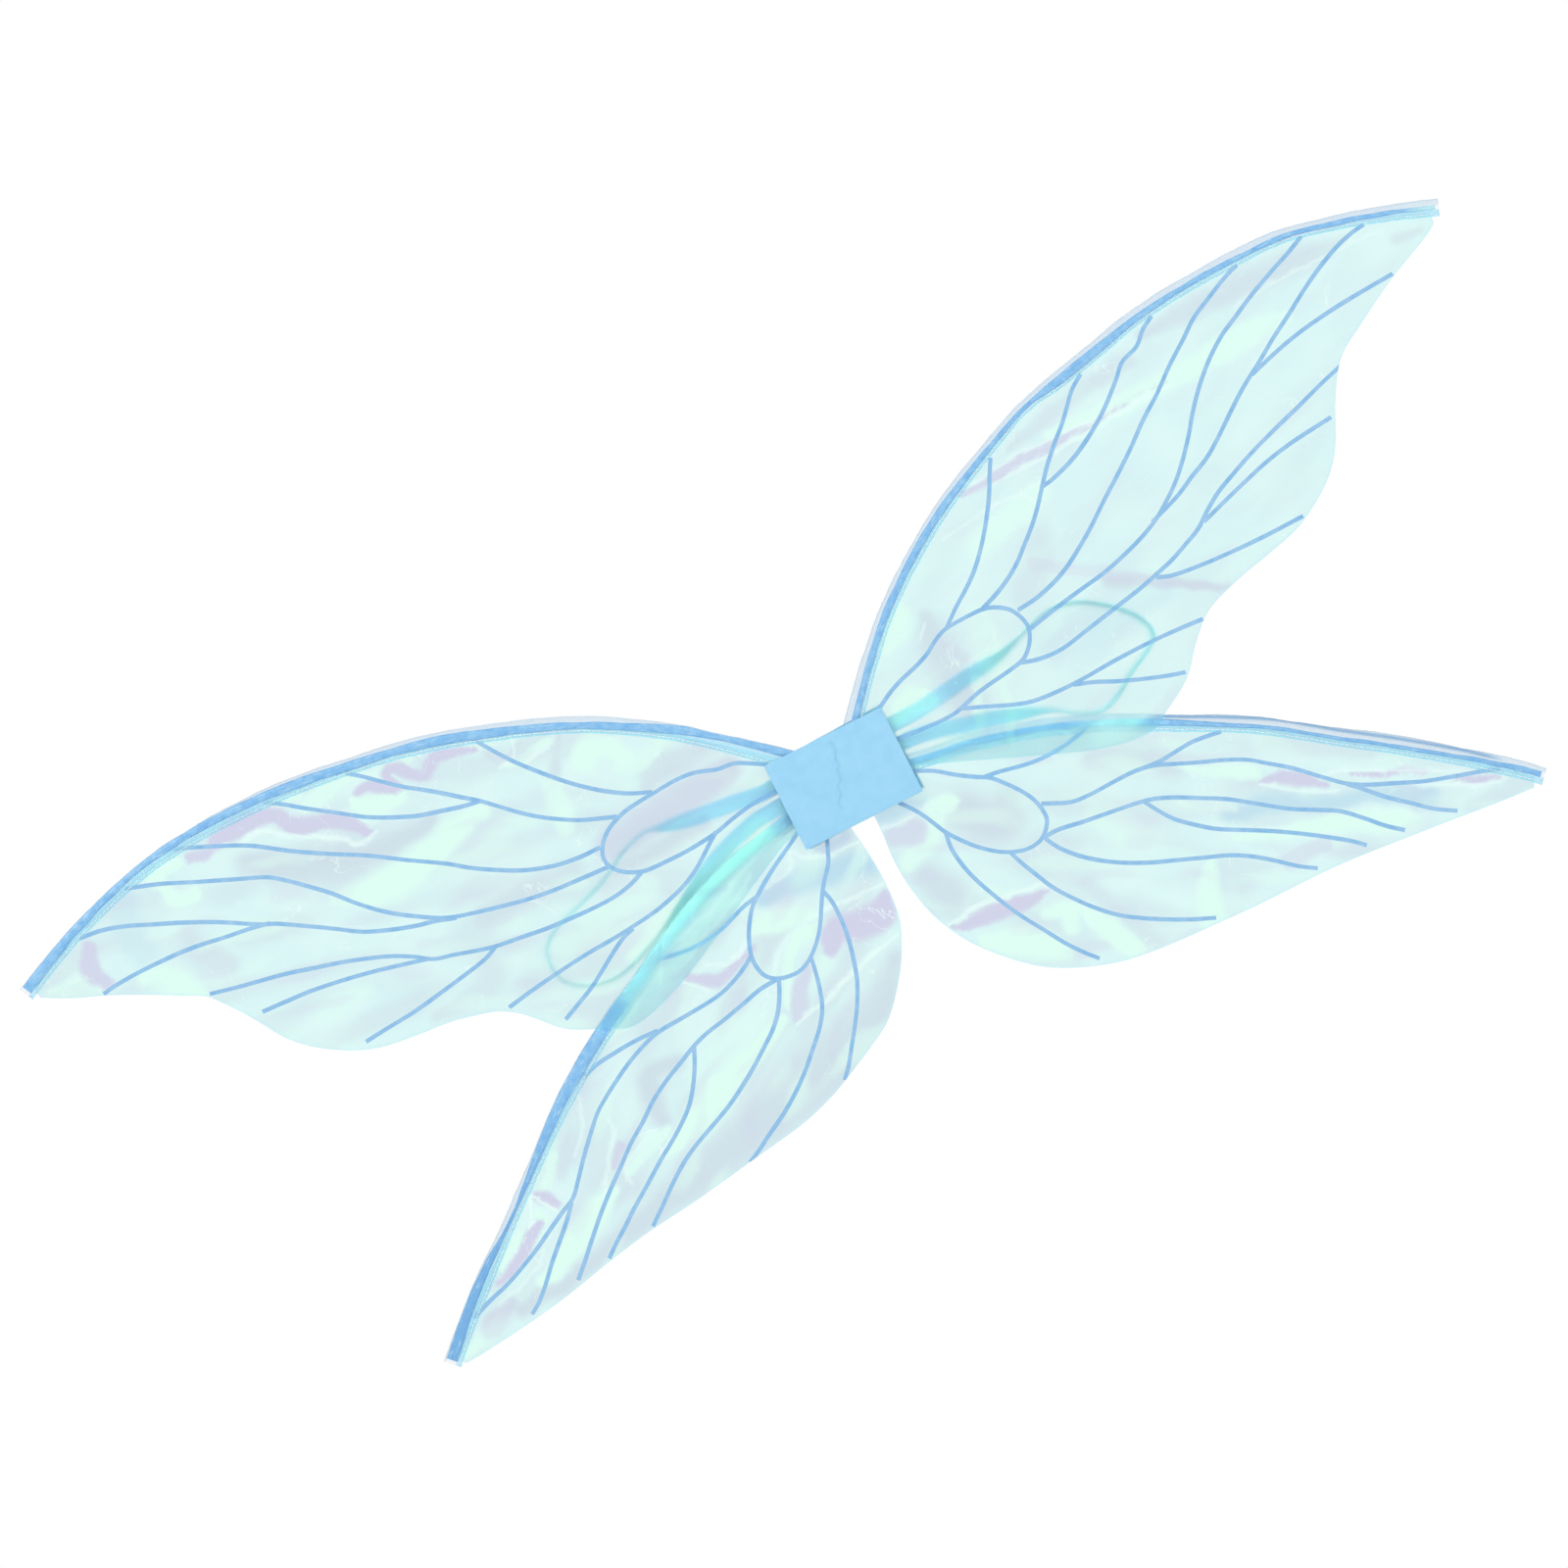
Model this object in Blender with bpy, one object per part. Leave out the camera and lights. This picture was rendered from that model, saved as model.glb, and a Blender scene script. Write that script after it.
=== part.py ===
"""Fairy wings: four film wings with wired hems, held in a felt back pad with two elastic shoulder loops.

Frame: metres, +Z up, +X towards the wings' right-hand side as seen from behind the wearer, +Y towards
the wearer. The origin is the middle of the back pad's face that rests on the wearer's back. Outlines
and routes are written in millimetres as (x, z) in the plane of the wings. The left-hand side's are
mirrored: they are cut and sewn by hand, so they differ a little from the right-hand side's.
"""
import math

import bmesh
import bpy
from mathutils import Matrix, Vector

MM = 0.001
SIDES = {"right": 1, "left": -1}
WINGS = ("upper", "lower")

# Layers from the wearer's side (y = 0) towards the outer face (negative y), in mm.
FELT_THICK = 1.5
FELT_BEVEL = 0.25
STRAP_LAYER_Y = -2.45
LAYER_Y = {"upper": -7.5, "lower": -4.3}
CARD_Y = -5.9
CARD_THICK = 0.8
FRONT_PAD_BACK_Y = -9.1

# Pad.
PAD_SIZE = (80.0, 57.5)
CARD_SIZE = (76.0, 53.0)
FRONT_PAD_SHIFT = (-1.2, -0.4)
FRONT_PAD_TURN = math.radians(-1.8)

# Fold lines: each side's two wings fold away from the wearer about one upright line.
FOLD_X = 43.0
FOLD_Y = -9.0
FOLD_GAP = 0.4

# Wire, hem and film.
WIRE_R = 0.8
BORE_R = 1.14
HEM_HALF_WIDTH = 4.5
HEM_HALF_THICK = 1.3
FILM_THICK = 0.3
FILM_GAP = 0.4
TIP_TAB_LENGTH = 5.5
WIRE_END_INSET = 2.0
PART_GAP = 0.35

# The wire's route in each wing, from the pad's edge to the tip. The left wings are a hand-sewn pair's.
WIRE_ROUTE = {
    ("upper", "right"): [(20, 26), (43, 51), (73, 79), (112, 106), (152, 126), (191, 141), (231, 151.5),
                         (271, 159), (310, 164), (350, 165.5), (389, 163), (429, 153), (458, 143.5),
                         (481, 134)],
    ("lower", "right"): [(36, -10), (54.5, -14), (74.5, -17), (92, -22), (118, -30), (144, -41), (165, -51),
                         (183, -60.5), (200, -70), (218, -80), (247.5, -98), (277.5, -121.5),
                         (307, -143.5), (337, -167.5), (357, -185.5), (373, -201)],
    ("upper", "left"): [(25, 27.5), (38, 39.5), (51, 51), (83, 78.5), (123, 105), (165, 124.5), (205, 139),
                        (246, 149), (287, 155.5), (327, 159.5), (368, 160.5), (408, 156.5), (449, 145.5),
                        (478, 135), (499, 126)],
    ("lower", "left"): [(44.5, -7), (62, -10), (82, -13.5), (100, -18.5), (125, -27.5), (150, -39),
                        (175, -51.5), (190, -58.5), (208, -67.5), (226, -78), (255, -97.5), (284.5, -121),
                        (313.5, -143.5), (345, -166.5), (365.5, -183.5), (380, -196.5)],
}
# The bent end of each wire inside the pad.
WIRE_HOOK = {
    ("upper", "right"): [(9, -12), (9, 6), (12, 17)],
    ("lower", "right"): [(15, 18), (15, 6), (19, -1), (26, -6.5)],
    ("upper", "left"): [(15, -13), (15.5, 5.5), (18.5, 16.5)],
    ("lower", "left"): [(23.5, 21), (23.5, 9), (27.5, 2.5), (34.5, -3.5)],
}
HEM_ROOT_START_Z = 34.5

# The film's free edge, from the tip back to the tab that is held in the pad.
FREE_EDGE = {
    ("upper", "right"): [(479, 125), (470, 120), (440, 107.5), (410, 92), (390, 80), (375, 60), (360, 33),
                         (345, 17), (320, 2.5), (295, -4), (270, -9), (245, -17), (228, -31), (213, -47),
                         (192, -59), (177, -65.5), (150, -61), (119, -49), (79, -31), (45, -16)],
    ("lower", "right"): [(368, -208), (345, -205.5), (300, -199.5), (240, -192.5), (180, -190), (120, -185),
                         (90, -179), (60, -166), (40, -150.5), (20, -127), (8, -103), (3, -80), (2, -60),
                         (4, -40), (4.5, -25)],
    ("upper", "left"): [(497, 117), (480, 107.5), (460, 98.5), (440, 88), (420, 76.5), (408, 69.5), (400, 60),
                        (393, 50), (386, 38.5), (378, 25), (369, 14.5), (358, 5.5), (344, -3), (328, -9.5),
                        (305, -13.5), (285, -16), (270, -19.5), (256, -24), (245, -31), (238, -38),
                        (223, -54), (201, -65.5), (185.5, -72), (158, -66.5), (126.5, -53.5), (86, -34),
                        (51.5, -18)],
    ("lower", "left"): [(376, -204.5), (360, -204), (330, -201.5), (300, -197.5), (270, -192), (240, -187.5),
                        (200, -184), (160, -179), (125, -174.5), (105, -169.5), (90, -164), (60, -150.5),
                        (45, -141), (28, -122), (18, -106), (12, -92), (9.5, -75), (9, -60), (10, -42),
                        (12, -24)],
}
FILM_TAB = {
    ("upper", "right"): [(15, -14), (15, 12)],
    ("lower", "right"): [(9, -14), (24, -12)],
    ("upper", "left"): [(21, -15), (21.5, 11.5)],
    ("lower", "left"): [(17.5, -10.5), (32.5, -9)],
}

# Shoulder straps: x, z, y in mm and the ribbon's twist in degrees (0 flat in the wings' plane, 90 on edge).
STRAP_WIDTH = 10.0
STRAP_THICK = 1.0
STRAP_END_X = 16.0
STRAP_PIVOT_Y = -1.9
STRAP_ROUTE = {
    "right": [(43, 14.5, -2.45, 0), (50, 14.5, -1.6, 0), (62, 14.5, 1.5, 0), (96, 18, 5, 10),
              (121, 20, 6, 60), (145, 27, 6.5, 90), (160, 30, 6.5, 90), (175, 27, 6.5, 90),
              (188, 19, 6.5, 90), (201, 7, 6.5, 90), (208, -4, 6.5, 90), (209, -14, 6.5, 90),
              (201, -21, 6.5, 90), (186, -28, 6.5, 90), (173, -36, 6.5, 90), (159, -40, 6.5, 90),
              (144, -34, 6.5, 90), (130, -24, 6.5, 75), (103, -14, 5, 20), (79, -7, 3.5, 0),
              (62, -1.5, 1.5, 0), (50, 1, -1.6, 0), (43, 1.5, -2.45, 0)],
    "left": [(43, 15.5, -2.45, 0), (50, 15.5, -1.6, 0), (70, 19, 2.5, 0), (91, 22, 4.5, 5),
             (111, 26, 6, 50), (122, 29, 6.5, 90), (135, 27, 6.5, 90), (147, 22, 6.5, 90),
             (163, 14, 6.5, 90), (183, 8, 6.5, 90), (202, 2, 6.5, 90), (212, -7, 6.5, 90),
             (214, -20, 6.5, 90), (210, -30, 6.5, 90), (200, -37, 6.5, 90), (185, -41, 6.5, 90),
             (170, -39, 6.5, 90), (143, -29, 6.5, 80), (120, -19, 5.5, 40), (92, -6, 4, 0),
             (66, 1.5, 2, 0), (50, 3, -1.6, 0), (43, 3, -2.45, 0)],
}

# Colours (linear RGB).
FELT_BLUE = (0.32, 0.64, 0.93)
HEM_BLUE = (0.20, 0.45, 0.82)
FILM_MINT = (0.62, 0.84, 0.86)
STEEL = (0.55, 0.56, 0.58)
CARD_WHITE = (0.85, 0.86, 0.86)
ELASTIC_BLUE = (0.30, 0.66, 0.85)

# Cross-sections as fractions of the half width and half thickness.
HEM_SECTION = [(1, 0), (0.8, 0.75), (0, 1), (-0.8, 0.75), (-1, 0), (-0.8, -0.75), (0, -1), (0.8, -0.75)]
STRAP_SECTION = [(1, 0.5), (0.9, 1), (-0.9, 1), (-1, 0.5), (-1, -0.5), (-0.9, -1), (0.9, -1), (1, -0.5)]


def clear_scene():
    for obj in list(bpy.data.objects):
        bpy.data.objects.remove(obj, do_unlink=True)


def material(name, colour, roughness, metallic=0.0):
    made = bpy.data.materials.new(name)
    made.use_nodes = True
    shader = made.node_tree.nodes["Principled BSDF"]
    shader.inputs["Base Color"].default_value = (*colour, 1.0)
    shader.inputs["Roughness"].default_value = roughness
    shader.inputs["Metallic"].default_value = metallic
    return made


def pivot(name, x, y):
    """An empty on a joint's upright axis."""
    empty = bpy.data.objects.new(name, None)
    empty.location = Vector((x, y, 0)) * MM
    bpy.context.scene.collection.objects.link(empty)
    return empty


def add_object(name, mesh, look, parent, smooth=False):
    obj = bpy.data.objects.new(name, mesh)
    mesh.materials.append(look)
    if smooth:
        mesh.shade_smooth()
        mesh.set_sharp_from_angle(angle=math.radians(40))
    bpy.context.scene.collection.objects.link(obj)
    if parent:
        obj.parent = parent
        obj.matrix_parent_inverse = Matrix.Translation(-parent.location)
    return obj


def curve_through(points, per_span):
    """Catmull-Rom curve through points of any size, with per_span steps from point to point."""
    vectors = [Vector(p) for p in points]
    ends = [vectors[0] * 2 - vectors[1]] + vectors + [vectors[-1] * 2 - vectors[-2]]
    result = []
    for a, b, c, d in zip(ends, ends[1:], ends[2:], ends[3:]):
        for step in range(per_span):
            t = step / per_span
            result.append(0.5 * (2 * b + (c - a) * t + (2 * a - 5 * b + 4 * c - d) * t * t
                                 + (3 * b - 3 * c + d - a) * t ** 3))
    return result + [vectors[-1]]


def across(path, index):
    """Unit vector across the path, in its plane, to the left of its direction."""
    ahead = path[min(index + 1, len(path) - 1)] - path[max(index - 1, 0)]
    return Vector((-ahead.y, ahead.x)).normalized()


def cut_outline(outline, limit, outside):
    """The part of a closed outline with x above (outside) or below (not outside) the limit."""
    def kept(p):
        return p.x >= limit if outside else p.x <= limit
    result = []
    for a, b in zip(outline, outline[1:] + outline[:1]):
        if kept(a):
            result.append(a)
        if kept(a) != kept(b):
            result.append(a.lerp(b, (limit - a.x) / (b.x - a.x)))
    return result


def cut_path(path, limit, outside):
    """The stretch of an open path outside or inside the limit, ending exactly on it."""
    result = []
    for a, b in zip(path, path[1:]):
        if (a.x >= limit) == outside:
            result.append(a)
        if (a.x >= limit) != (b.x >= limit):
            result.append(a.lerp(b, (limit - a.x) / (b.x - a.x)))
    if (path[-1].x >= limit) == outside:
        result.append(path[-1])
    return result


def plate_mesh(name, outline, y_low, y_high, mirror):
    """A flat plate of the given (x, z) outline between two y planes, all in mm."""
    mesh = bpy.data.meshes.new(name)
    work = bmesh.new()
    ring = [work.verts.new(Vector((p[0] * mirror, y_low, p[1])) * MM) for p in outline]
    face = work.faces.new(ring)
    grown = bmesh.ops.extrude_face_region(work, geom=[face])
    moved = [item for item in grown["geom"] if isinstance(item, bmesh.types.BMVert)]
    bmesh.ops.translate(work, verts=moved, vec=Vector((0, y_high - y_low, 0)) * MM)
    bmesh.ops.triangulate(work, faces=[f for f in work.faces if len(f.verts) > 4])
    bmesh.ops.recalc_face_normals(work, faces=work.faces)
    work.to_mesh(mesh)
    work.free()
    return mesh


def loft_mesh(name, rings, inner_rings=None):
    """A closed skin through the rings. Inner rings make an open bore through its whole length."""
    mesh = bpy.data.meshes.new(name)
    work = bmesh.new()

    def skin(loops):
        made = [[work.verts.new(p * MM) for p in loop] for loop in loops]
        for one, two in zip(made, made[1:]):
            bridge(one, two)
        return made

    def bridge(one, two):
        count = len(one)
        for i in range(count):
            work.faces.new((one[i], one[(i + 1) % count], two[(i + 1) % count], two[i]))

    outer = skin(rings)
    if inner_rings:
        inner = skin(inner_rings)
        bridge(outer[0], inner[0])
        bridge(outer[-1], inner[-1])
    else:
        work.faces.new(outer[0])
        work.faces.new(outer[-1])
    bmesh.ops.recalc_face_normals(work, faces=work.faces)
    work.to_mesh(mesh)
    work.free()
    return mesh


def hem_rings(path, y, mirror, section, half_width, half_thick, upright_end=None):
    """Cross-section rings along a wing's wire. upright_end (0 or -1) is the end cut along the fold."""
    rings = []
    for index, centre in enumerate(path):
        side = across(path, index)
        if upright_end is not None and index == upright_end % len(path):
            side = Vector((0, 1.0 / max(abs(side.y), 0.2)))
        ring = []
        for wide, thick in section:
            flat = centre + side * (wide * half_width)
            ring.append(Vector((flat.x * mirror, y + thick * half_thick, flat.y)))
        rings.append(ring)
    return rings


def bore_section():
    count = len(HEM_SECTION)
    return [(math.cos(2 * math.pi * i / count), math.sin(2 * math.pi * i / count)) for i in range(count)]


def wire_object(name, path, y, mirror, look, parent):
    """A round steel wire along the path."""
    curve = bpy.data.curves.new(name, "CURVE")
    curve.dimensions = "3D"
    curve.resolution_u = 1
    curve.render_resolution_u = 0
    curve.bevel_depth = WIRE_R * MM
    curve.bevel_resolution = 2
    curve.use_fill_caps = True
    spline = curve.splines.new("POLY")
    spline.points.add(len(path) - 1)
    for point, place in zip(spline.points, path):
        point.co = (place.x * mirror * MM, y * MM, place.y * MM, 1.0)
    return add_object(name, curve, look, parent)


def shorten(path, length):
    """The path with its last stretch of this length taken off."""
    points = list(path)
    while (points[-1] - points[-2]).length <= length:
        length -= (points[-1] - points[-2]).length
        points.pop()
    points[-1] = points[-1].lerp(points[-2], length / (points[-1] - points[-2]).length)
    return points


def make_pads(looks):
    half_x, half_z = PAD_SIZE[0] / 2, PAD_SIZE[1] / 2
    square = [Vector(p) for p in ((-half_x, -half_z), (half_x, -half_z), (half_x, half_z), (-half_x, half_z))]
    skew = Matrix.Rotation(FRONT_PAD_TURN, 2)
    skewed = [skew @ p + Vector(FRONT_PAD_SHIFT) for p in square]
    card = [Vector((p.x * CARD_SIZE[0] / PAD_SIZE[0], p.y * CARD_SIZE[1] / PAD_SIZE[1])) for p in square]
    back = plate_mesh("back_pad", square, -FELT_THICK, 0, 1)
    front = plate_mesh("front_pad", skewed, FRONT_PAD_BACK_Y - FELT_THICK, FRONT_PAD_BACK_Y, 1)
    for mesh in (back, front):
        felt = add_object(mesh.name, mesh, looks["felt"], None)
        bevel = felt.modifiers.new("soft edge", "BEVEL")
        bevel.width = FELT_BEVEL * MM
        bevel.segments = 1
    stiffener = plate_mesh("core_card", card, CARD_Y - CARD_THICK / 2, CARD_Y + CARD_THICK / 2, 1)
    add_object("core_card", stiffener, looks["card"], None)


def make_film(wing, side, route, looks, fold):
    """The film in its two stretches: the wing outside the fold line and the root held by the pad."""
    inner_edge = [p - across(route, i) * (HEM_HALF_WIDTH + FILM_GAP) for i, p in enumerate(route)]
    free = curve_through(FREE_EDGE[wing, side], 2) + [Vector(p) for p in FILM_TAB[wing, side]]
    outline = inner_edge + free
    mirror = SIDES[side]
    y_low, y_high = LAYER_Y[wing] - FILM_THICK / 2, LAYER_Y[wing] + FILM_THICK / 2
    stretches = ((f"film_{wing}_{side}", True, fold), (f"film_root_{wing}_{side}", False, None))
    for name, outside, parent in stretches:
        limit = FOLD_X + (FOLD_GAP if outside else -FOLD_GAP)
        mesh = plate_mesh(name, cut_outline(outline, limit, outside), y_low, y_high, mirror)
        add_object(name, mesh, looks["film"], parent)


def make_wire(wing, side, path, looks, fold):
    """The wire outside the fold line, and its shank with the hook inside the pad."""
    mirror = SIDES[side]
    y = LAYER_Y[wing]
    outer = shorten(cut_path(path, FOLD_X + FOLD_GAP, True), WIRE_END_INSET)
    wire_object(f"wire_{wing}_{side}", outer, y, mirror, looks["steel"], fold)
    hook = [Vector(p) for p in WIRE_HOOK[wing, side]]
    shank = cut_path(hook + path, FOLD_X - FOLD_GAP, False)
    wire_object(f"wire_shank_{wing}_{side}", shank, y, mirror, looks["steel"], None)


def make_hem(wing, side, path, looks, fold):
    """The hem's sleeve, its stitched-off tip and, on an upper wing, its stretch between pad and fold."""
    mirror = SIDES[side]
    y = LAYER_Y[wing]
    size = (HEM_HALF_WIDTH, HEM_HALF_THICK)

    def sleeve(name, stretch, upright_end, parent):
        outer = hem_rings(stretch, y, mirror, HEM_SECTION, *size, upright_end)
        bore = hem_rings(stretch, y, mirror, bore_section(), BORE_R, BORE_R, upright_end)
        add_object(name, loft_mesh(name, outer, bore), looks["hem"], parent, smooth=True)

    outside = cut_path(path, FOLD_X + FOLD_GAP, True)
    sleeve(f"hem_{wing}_{side}", outside, 0, fold)
    if wing == "upper":
        inside = [p for p in cut_path(path, FOLD_X - FOLD_GAP, False) if p.y > HEM_ROOT_START_Z]
        sleeve(f"hem_root_{wing}_{side}", inside, -1, None)
    ahead = (outside[-1] - outside[-2]).normalized()
    start = outside[-1] + ahead * PART_GAP
    tab_path = [start, start + ahead * TIP_TAB_LENGTH * 0.6, start + ahead * TIP_TAB_LENGTH]
    rings = hem_rings(tab_path, y, mirror, HEM_SECTION, *size)
    name = f"tip_tab_{wing}_{side}"
    add_object(name, loft_mesh(name, rings), looks["hem"], fold, smooth=True)


def make_strap(side, looks, swing):
    """The elastic loop outside the pad, and its two ends held between the card and the back pad."""
    mirror = SIDES[side]
    route = curve_through(STRAP_ROUTE[side], 2)
    route[0].x = route[-1].x = FOLD_X + FOLD_GAP
    places = [Vector((p[0] * mirror, p[2], p[1])) for p in route]
    rings = []
    for index, place in enumerate(places):
        ahead = places[min(index + 1, len(places) - 1)] - places[max(index - 1, 0)]
        if index in (0, len(places) - 1):
            ahead = Vector((1, 0, 0)) * (1 if index else -1)
        outward = Vector((0, 1, 0))
        flat = outward.cross(ahead).normalized()
        twist = math.radians(route[index][3])
        wide = (flat * math.cos(twist) + outward * math.sin(twist)).normalized()
        thick = ahead.normalized().cross(wide)
        rings.append([place + wide * (a * STRAP_WIDTH / 2) + thick * (b * STRAP_THICK / 2)
                      for a, b in STRAP_SECTION])
    name = f"strap_{side}"
    add_object(name, loft_mesh(name, rings), looks["elastic"], swing, smooth=True)
    y_low, y_high = STRAP_LAYER_Y - STRAP_THICK / 2, STRAP_LAYER_Y + STRAP_THICK / 2
    for end, point in (("upper", STRAP_ROUTE[side][0]), ("lower", STRAP_ROUTE[side][-1])):
        low, high = point[1] - STRAP_WIDTH / 2, point[1] + STRAP_WIDTH / 2
        inner, outer = STRAP_END_X, FOLD_X - FOLD_GAP
        outline = [(inner, low), (outer, low), (outer, high), (inner, high)]
        name = f"strap_end_{end}_{side}"
        mesh = plate_mesh(name, outline, y_low, y_high, mirror)
        add_object(name, mesh, looks["elastic"], None)


def main():
    clear_scene()
    looks = {
        "felt": material("felt", FELT_BLUE, 0.95),
        "hem": material("hem", HEM_BLUE, 0.6),
        "film": material("film", FILM_MINT, 0.3),
        "steel": material("steel", STEEL, 0.3, 1.0),
        "card": material("card", CARD_WHITE, 0.8),
        "elastic": material("elastic", ELASTIC_BLUE, 0.8),
    }
    make_pads(looks)
    for side, mirror in SIDES.items():
        fold = pivot(f"fold_{side}", FOLD_X * mirror, FOLD_Y)
        swing = pivot(f"swing_{side}", FOLD_X * mirror, STRAP_PIVOT_Y)
        for wing in WINGS:
            route = curve_through(WIRE_ROUTE[wing, side], 2)
            make_film(wing, side, route, looks, fold)
            make_wire(wing, side, route, looks, fold)
            make_hem(wing, side, route, looks, fold)
        make_strap(side, looks, swing)


main()
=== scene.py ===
"""Looks of the fairy wings: iridescent film with printed veins, stitched hems, felt pads and elastic loops.

Outlines and routes repeat the CAD part's own points: millimetres (x, z) in the plane of the wings. The
left-hand side's are mirrored, and MIRROR puts them on their side.
"""
import math

import bpy
import numpy as np
from mathutils import Matrix, Vector, noise
from mathutils.geometry import delaunay_2d_cdt


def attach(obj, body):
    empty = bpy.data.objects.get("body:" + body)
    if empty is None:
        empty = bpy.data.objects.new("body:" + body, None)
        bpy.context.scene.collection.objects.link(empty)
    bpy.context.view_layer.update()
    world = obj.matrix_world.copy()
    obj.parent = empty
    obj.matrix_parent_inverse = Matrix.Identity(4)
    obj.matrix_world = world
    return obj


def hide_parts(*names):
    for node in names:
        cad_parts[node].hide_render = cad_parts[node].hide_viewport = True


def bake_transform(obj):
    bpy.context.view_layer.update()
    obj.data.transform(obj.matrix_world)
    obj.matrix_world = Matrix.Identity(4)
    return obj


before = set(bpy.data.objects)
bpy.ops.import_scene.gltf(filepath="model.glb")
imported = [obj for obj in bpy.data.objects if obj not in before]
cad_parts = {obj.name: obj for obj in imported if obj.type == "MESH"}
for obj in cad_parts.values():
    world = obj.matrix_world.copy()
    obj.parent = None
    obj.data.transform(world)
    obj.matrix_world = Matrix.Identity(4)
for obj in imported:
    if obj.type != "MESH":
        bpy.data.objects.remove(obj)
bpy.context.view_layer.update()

MM = 0.001
MIRROR = {"right": 1, "left": -1}
WINGS = [(wing, side) for side in MIRROR for wing in ("upper", "lower")]

# ---------------------------------------------------------------- the CAD part's dimensions, in mm
LAYER_Y = {"upper": -7.5, "lower": -4.3}
OUTWARD = {"upper": -1, "lower": 1}
WIRE_ROUTE = {
    ("upper", "right"): [
        (20, 26), (43, 51), (73, 79), (112, 106), (152, 126), (191, 141), (231, 151.5), (271, 159),
        (310, 164), (350, 165.5), (389, 163), (429, 153), (458, 143.5), (481, 134)],
    ("lower", "right"): [
        (36, -10), (54.5, -14), (74.5, -17), (92, -22), (118, -30), (144, -41), (165, -51), (183, -60.5),
        (200, -70), (218, -80), (247.5, -98), (277.5, -121.5), (307, -143.5), (337, -167.5),
        (357, -185.5), (373, -201)],
    ("upper", "left"): [
        (25, 27.5), (38, 39.5), (51, 51), (83, 78.5), (123, 105), (165, 124.5), (205, 139), (246, 149),
        (287, 155.5), (327, 159.5), (368, 160.5), (408, 156.5), (449, 145.5), (478, 135), (499, 126)],
    ("lower", "left"): [
        (44.5, -7), (62, -10), (82, -13.5), (100, -18.5), (125, -27.5), (150, -39), (175, -51.5),
        (190, -58.5), (208, -67.5), (226, -78), (255, -97.5), (284.5, -121), (313.5, -143.5),
        (345, -166.5), (365.5, -183.5), (380, -196.5)],
}
WIRE_HOOK = {
    ("upper", "right"): [(9, -12), (9, 6), (12, 17)],
    ("lower", "right"): [(15, 18), (15, 6), (19, -1), (26, -6.5)],
    ("upper", "left"): [(15, -13), (15.5, 5.5), (18.5, 16.5)],
    ("lower", "left"): [(23.5, 21), (23.5, 9), (27.5, 2.5), (34.5, -3.5)],
}
FREE_EDGE = {
    ("upper", "right"): [
        (479, 125), (470, 120), (440, 107.5), (410, 92), (390, 80), (375, 60), (360, 33), (345, 17),
        (320, 2.5), (295, -4), (270, -9), (245, -17), (228, -31), (213, -47), (192, -59), (177, -65.5),
        (150, -61), (119, -49), (79, -31), (45, -16)],
    ("lower", "right"): [
        (368, -208), (345, -205.5), (300, -199.5), (240, -192.5), (180, -190), (120, -185), (90, -179),
        (60, -166), (40, -150.5), (20, -127), (8, -103), (3, -80), (2, -60), (4, -40), (4.5, -25)],
    ("upper", "left"): [
        (497, 117), (480, 107.5), (460, 98.5), (440, 88), (420, 76.5), (408, 69.5), (400, 60), (393, 50),
        (386, 38.5), (378, 25), (369, 14.5), (358, 5.5), (344, -3), (328, -9.5), (305, -13.5), (285, -16),
        (270, -19.5), (256, -24), (245, -31), (238, -38), (223, -54), (201, -65.5), (185.5, -72),
        (158, -66.5), (126.5, -53.5), (86, -34), (51.5, -18)],
    ("lower", "left"): [
        (376, -204.5), (360, -204), (330, -201.5), (300, -197.5), (270, -192), (240, -187.5), (200, -184),
        (160, -179), (125, -174.5), (105, -169.5), (90, -164), (60, -150.5), (45, -141), (28, -122),
        (18, -106), (12, -92), (9.5, -75), (9, -60), (10, -42), (12, -24)],
}
FILM_TAB = {
    ("upper", "right"): [(15, -14), (15, 12)],
    ("lower", "right"): [(9, -14), (24, -12)],
    ("upper", "left"): [(21, -15), (21.5, 11.5)],
    ("lower", "left"): [(17.5, -10.5), (32.5, -9)],
}
STRAP_ROUTE = {
    "right": [
        (43, 14.5, -2.45, 0), (50, 14.5, -1.6, 0), (62, 14.5, 1.5, 0), (96, 18, 5, 10), (121, 20, 6, 60),
        (145, 27, 6.5, 90), (160, 30, 6.5, 90), (175, 27, 6.5, 90), (188, 19, 6.5, 90), (201, 7, 6.5, 90),
        (208, -4, 6.5, 90), (209, -14, 6.5, 90), (201, -21, 6.5, 90), (186, -28, 6.5, 90),
        (173, -36, 6.5, 90), (159, -40, 6.5, 90), (144, -34, 6.5, 90), (130, -24, 6.5, 75),
        (103, -14, 5, 20), (79, -7, 3.5, 0), (62, -1.5, 1.5, 0), (50, 1, -1.6, 0), (43, 1.5, -2.45, 0)],
    "left": [
        (43, 15.5, -2.45, 0), (50, 15.5, -1.6, 0), (70, 19, 2.5, 0), (91, 22, 4.5, 5), (111, 26, 6, 50),
        (122, 29, 6.5, 90), (135, 27, 6.5, 90), (147, 22, 6.5, 90), (163, 14, 6.5, 90), (183, 8, 6.5, 90),
        (202, 2, 6.5, 90), (212, -7, 6.5, 90), (214, -20, 6.5, 90), (210, -30, 6.5, 90),
        (200, -37, 6.5, 90), (185, -41, 6.5, 90), (170, -39, 6.5, 90), (143, -29, 6.5, 80),
        (120, -19, 5.5, 40), (92, -6, 4, 0), (66, 1.5, 2, 0), (50, 3, -1.6, 0), (43, 3, -2.45, 0)],
}
STRAP_END_X = 16.0
STRAP_SIZE = (10.0, 1.0)
PAD_SIZE = (80.0, 57.5)
FELT_THICK = 1.5
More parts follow.
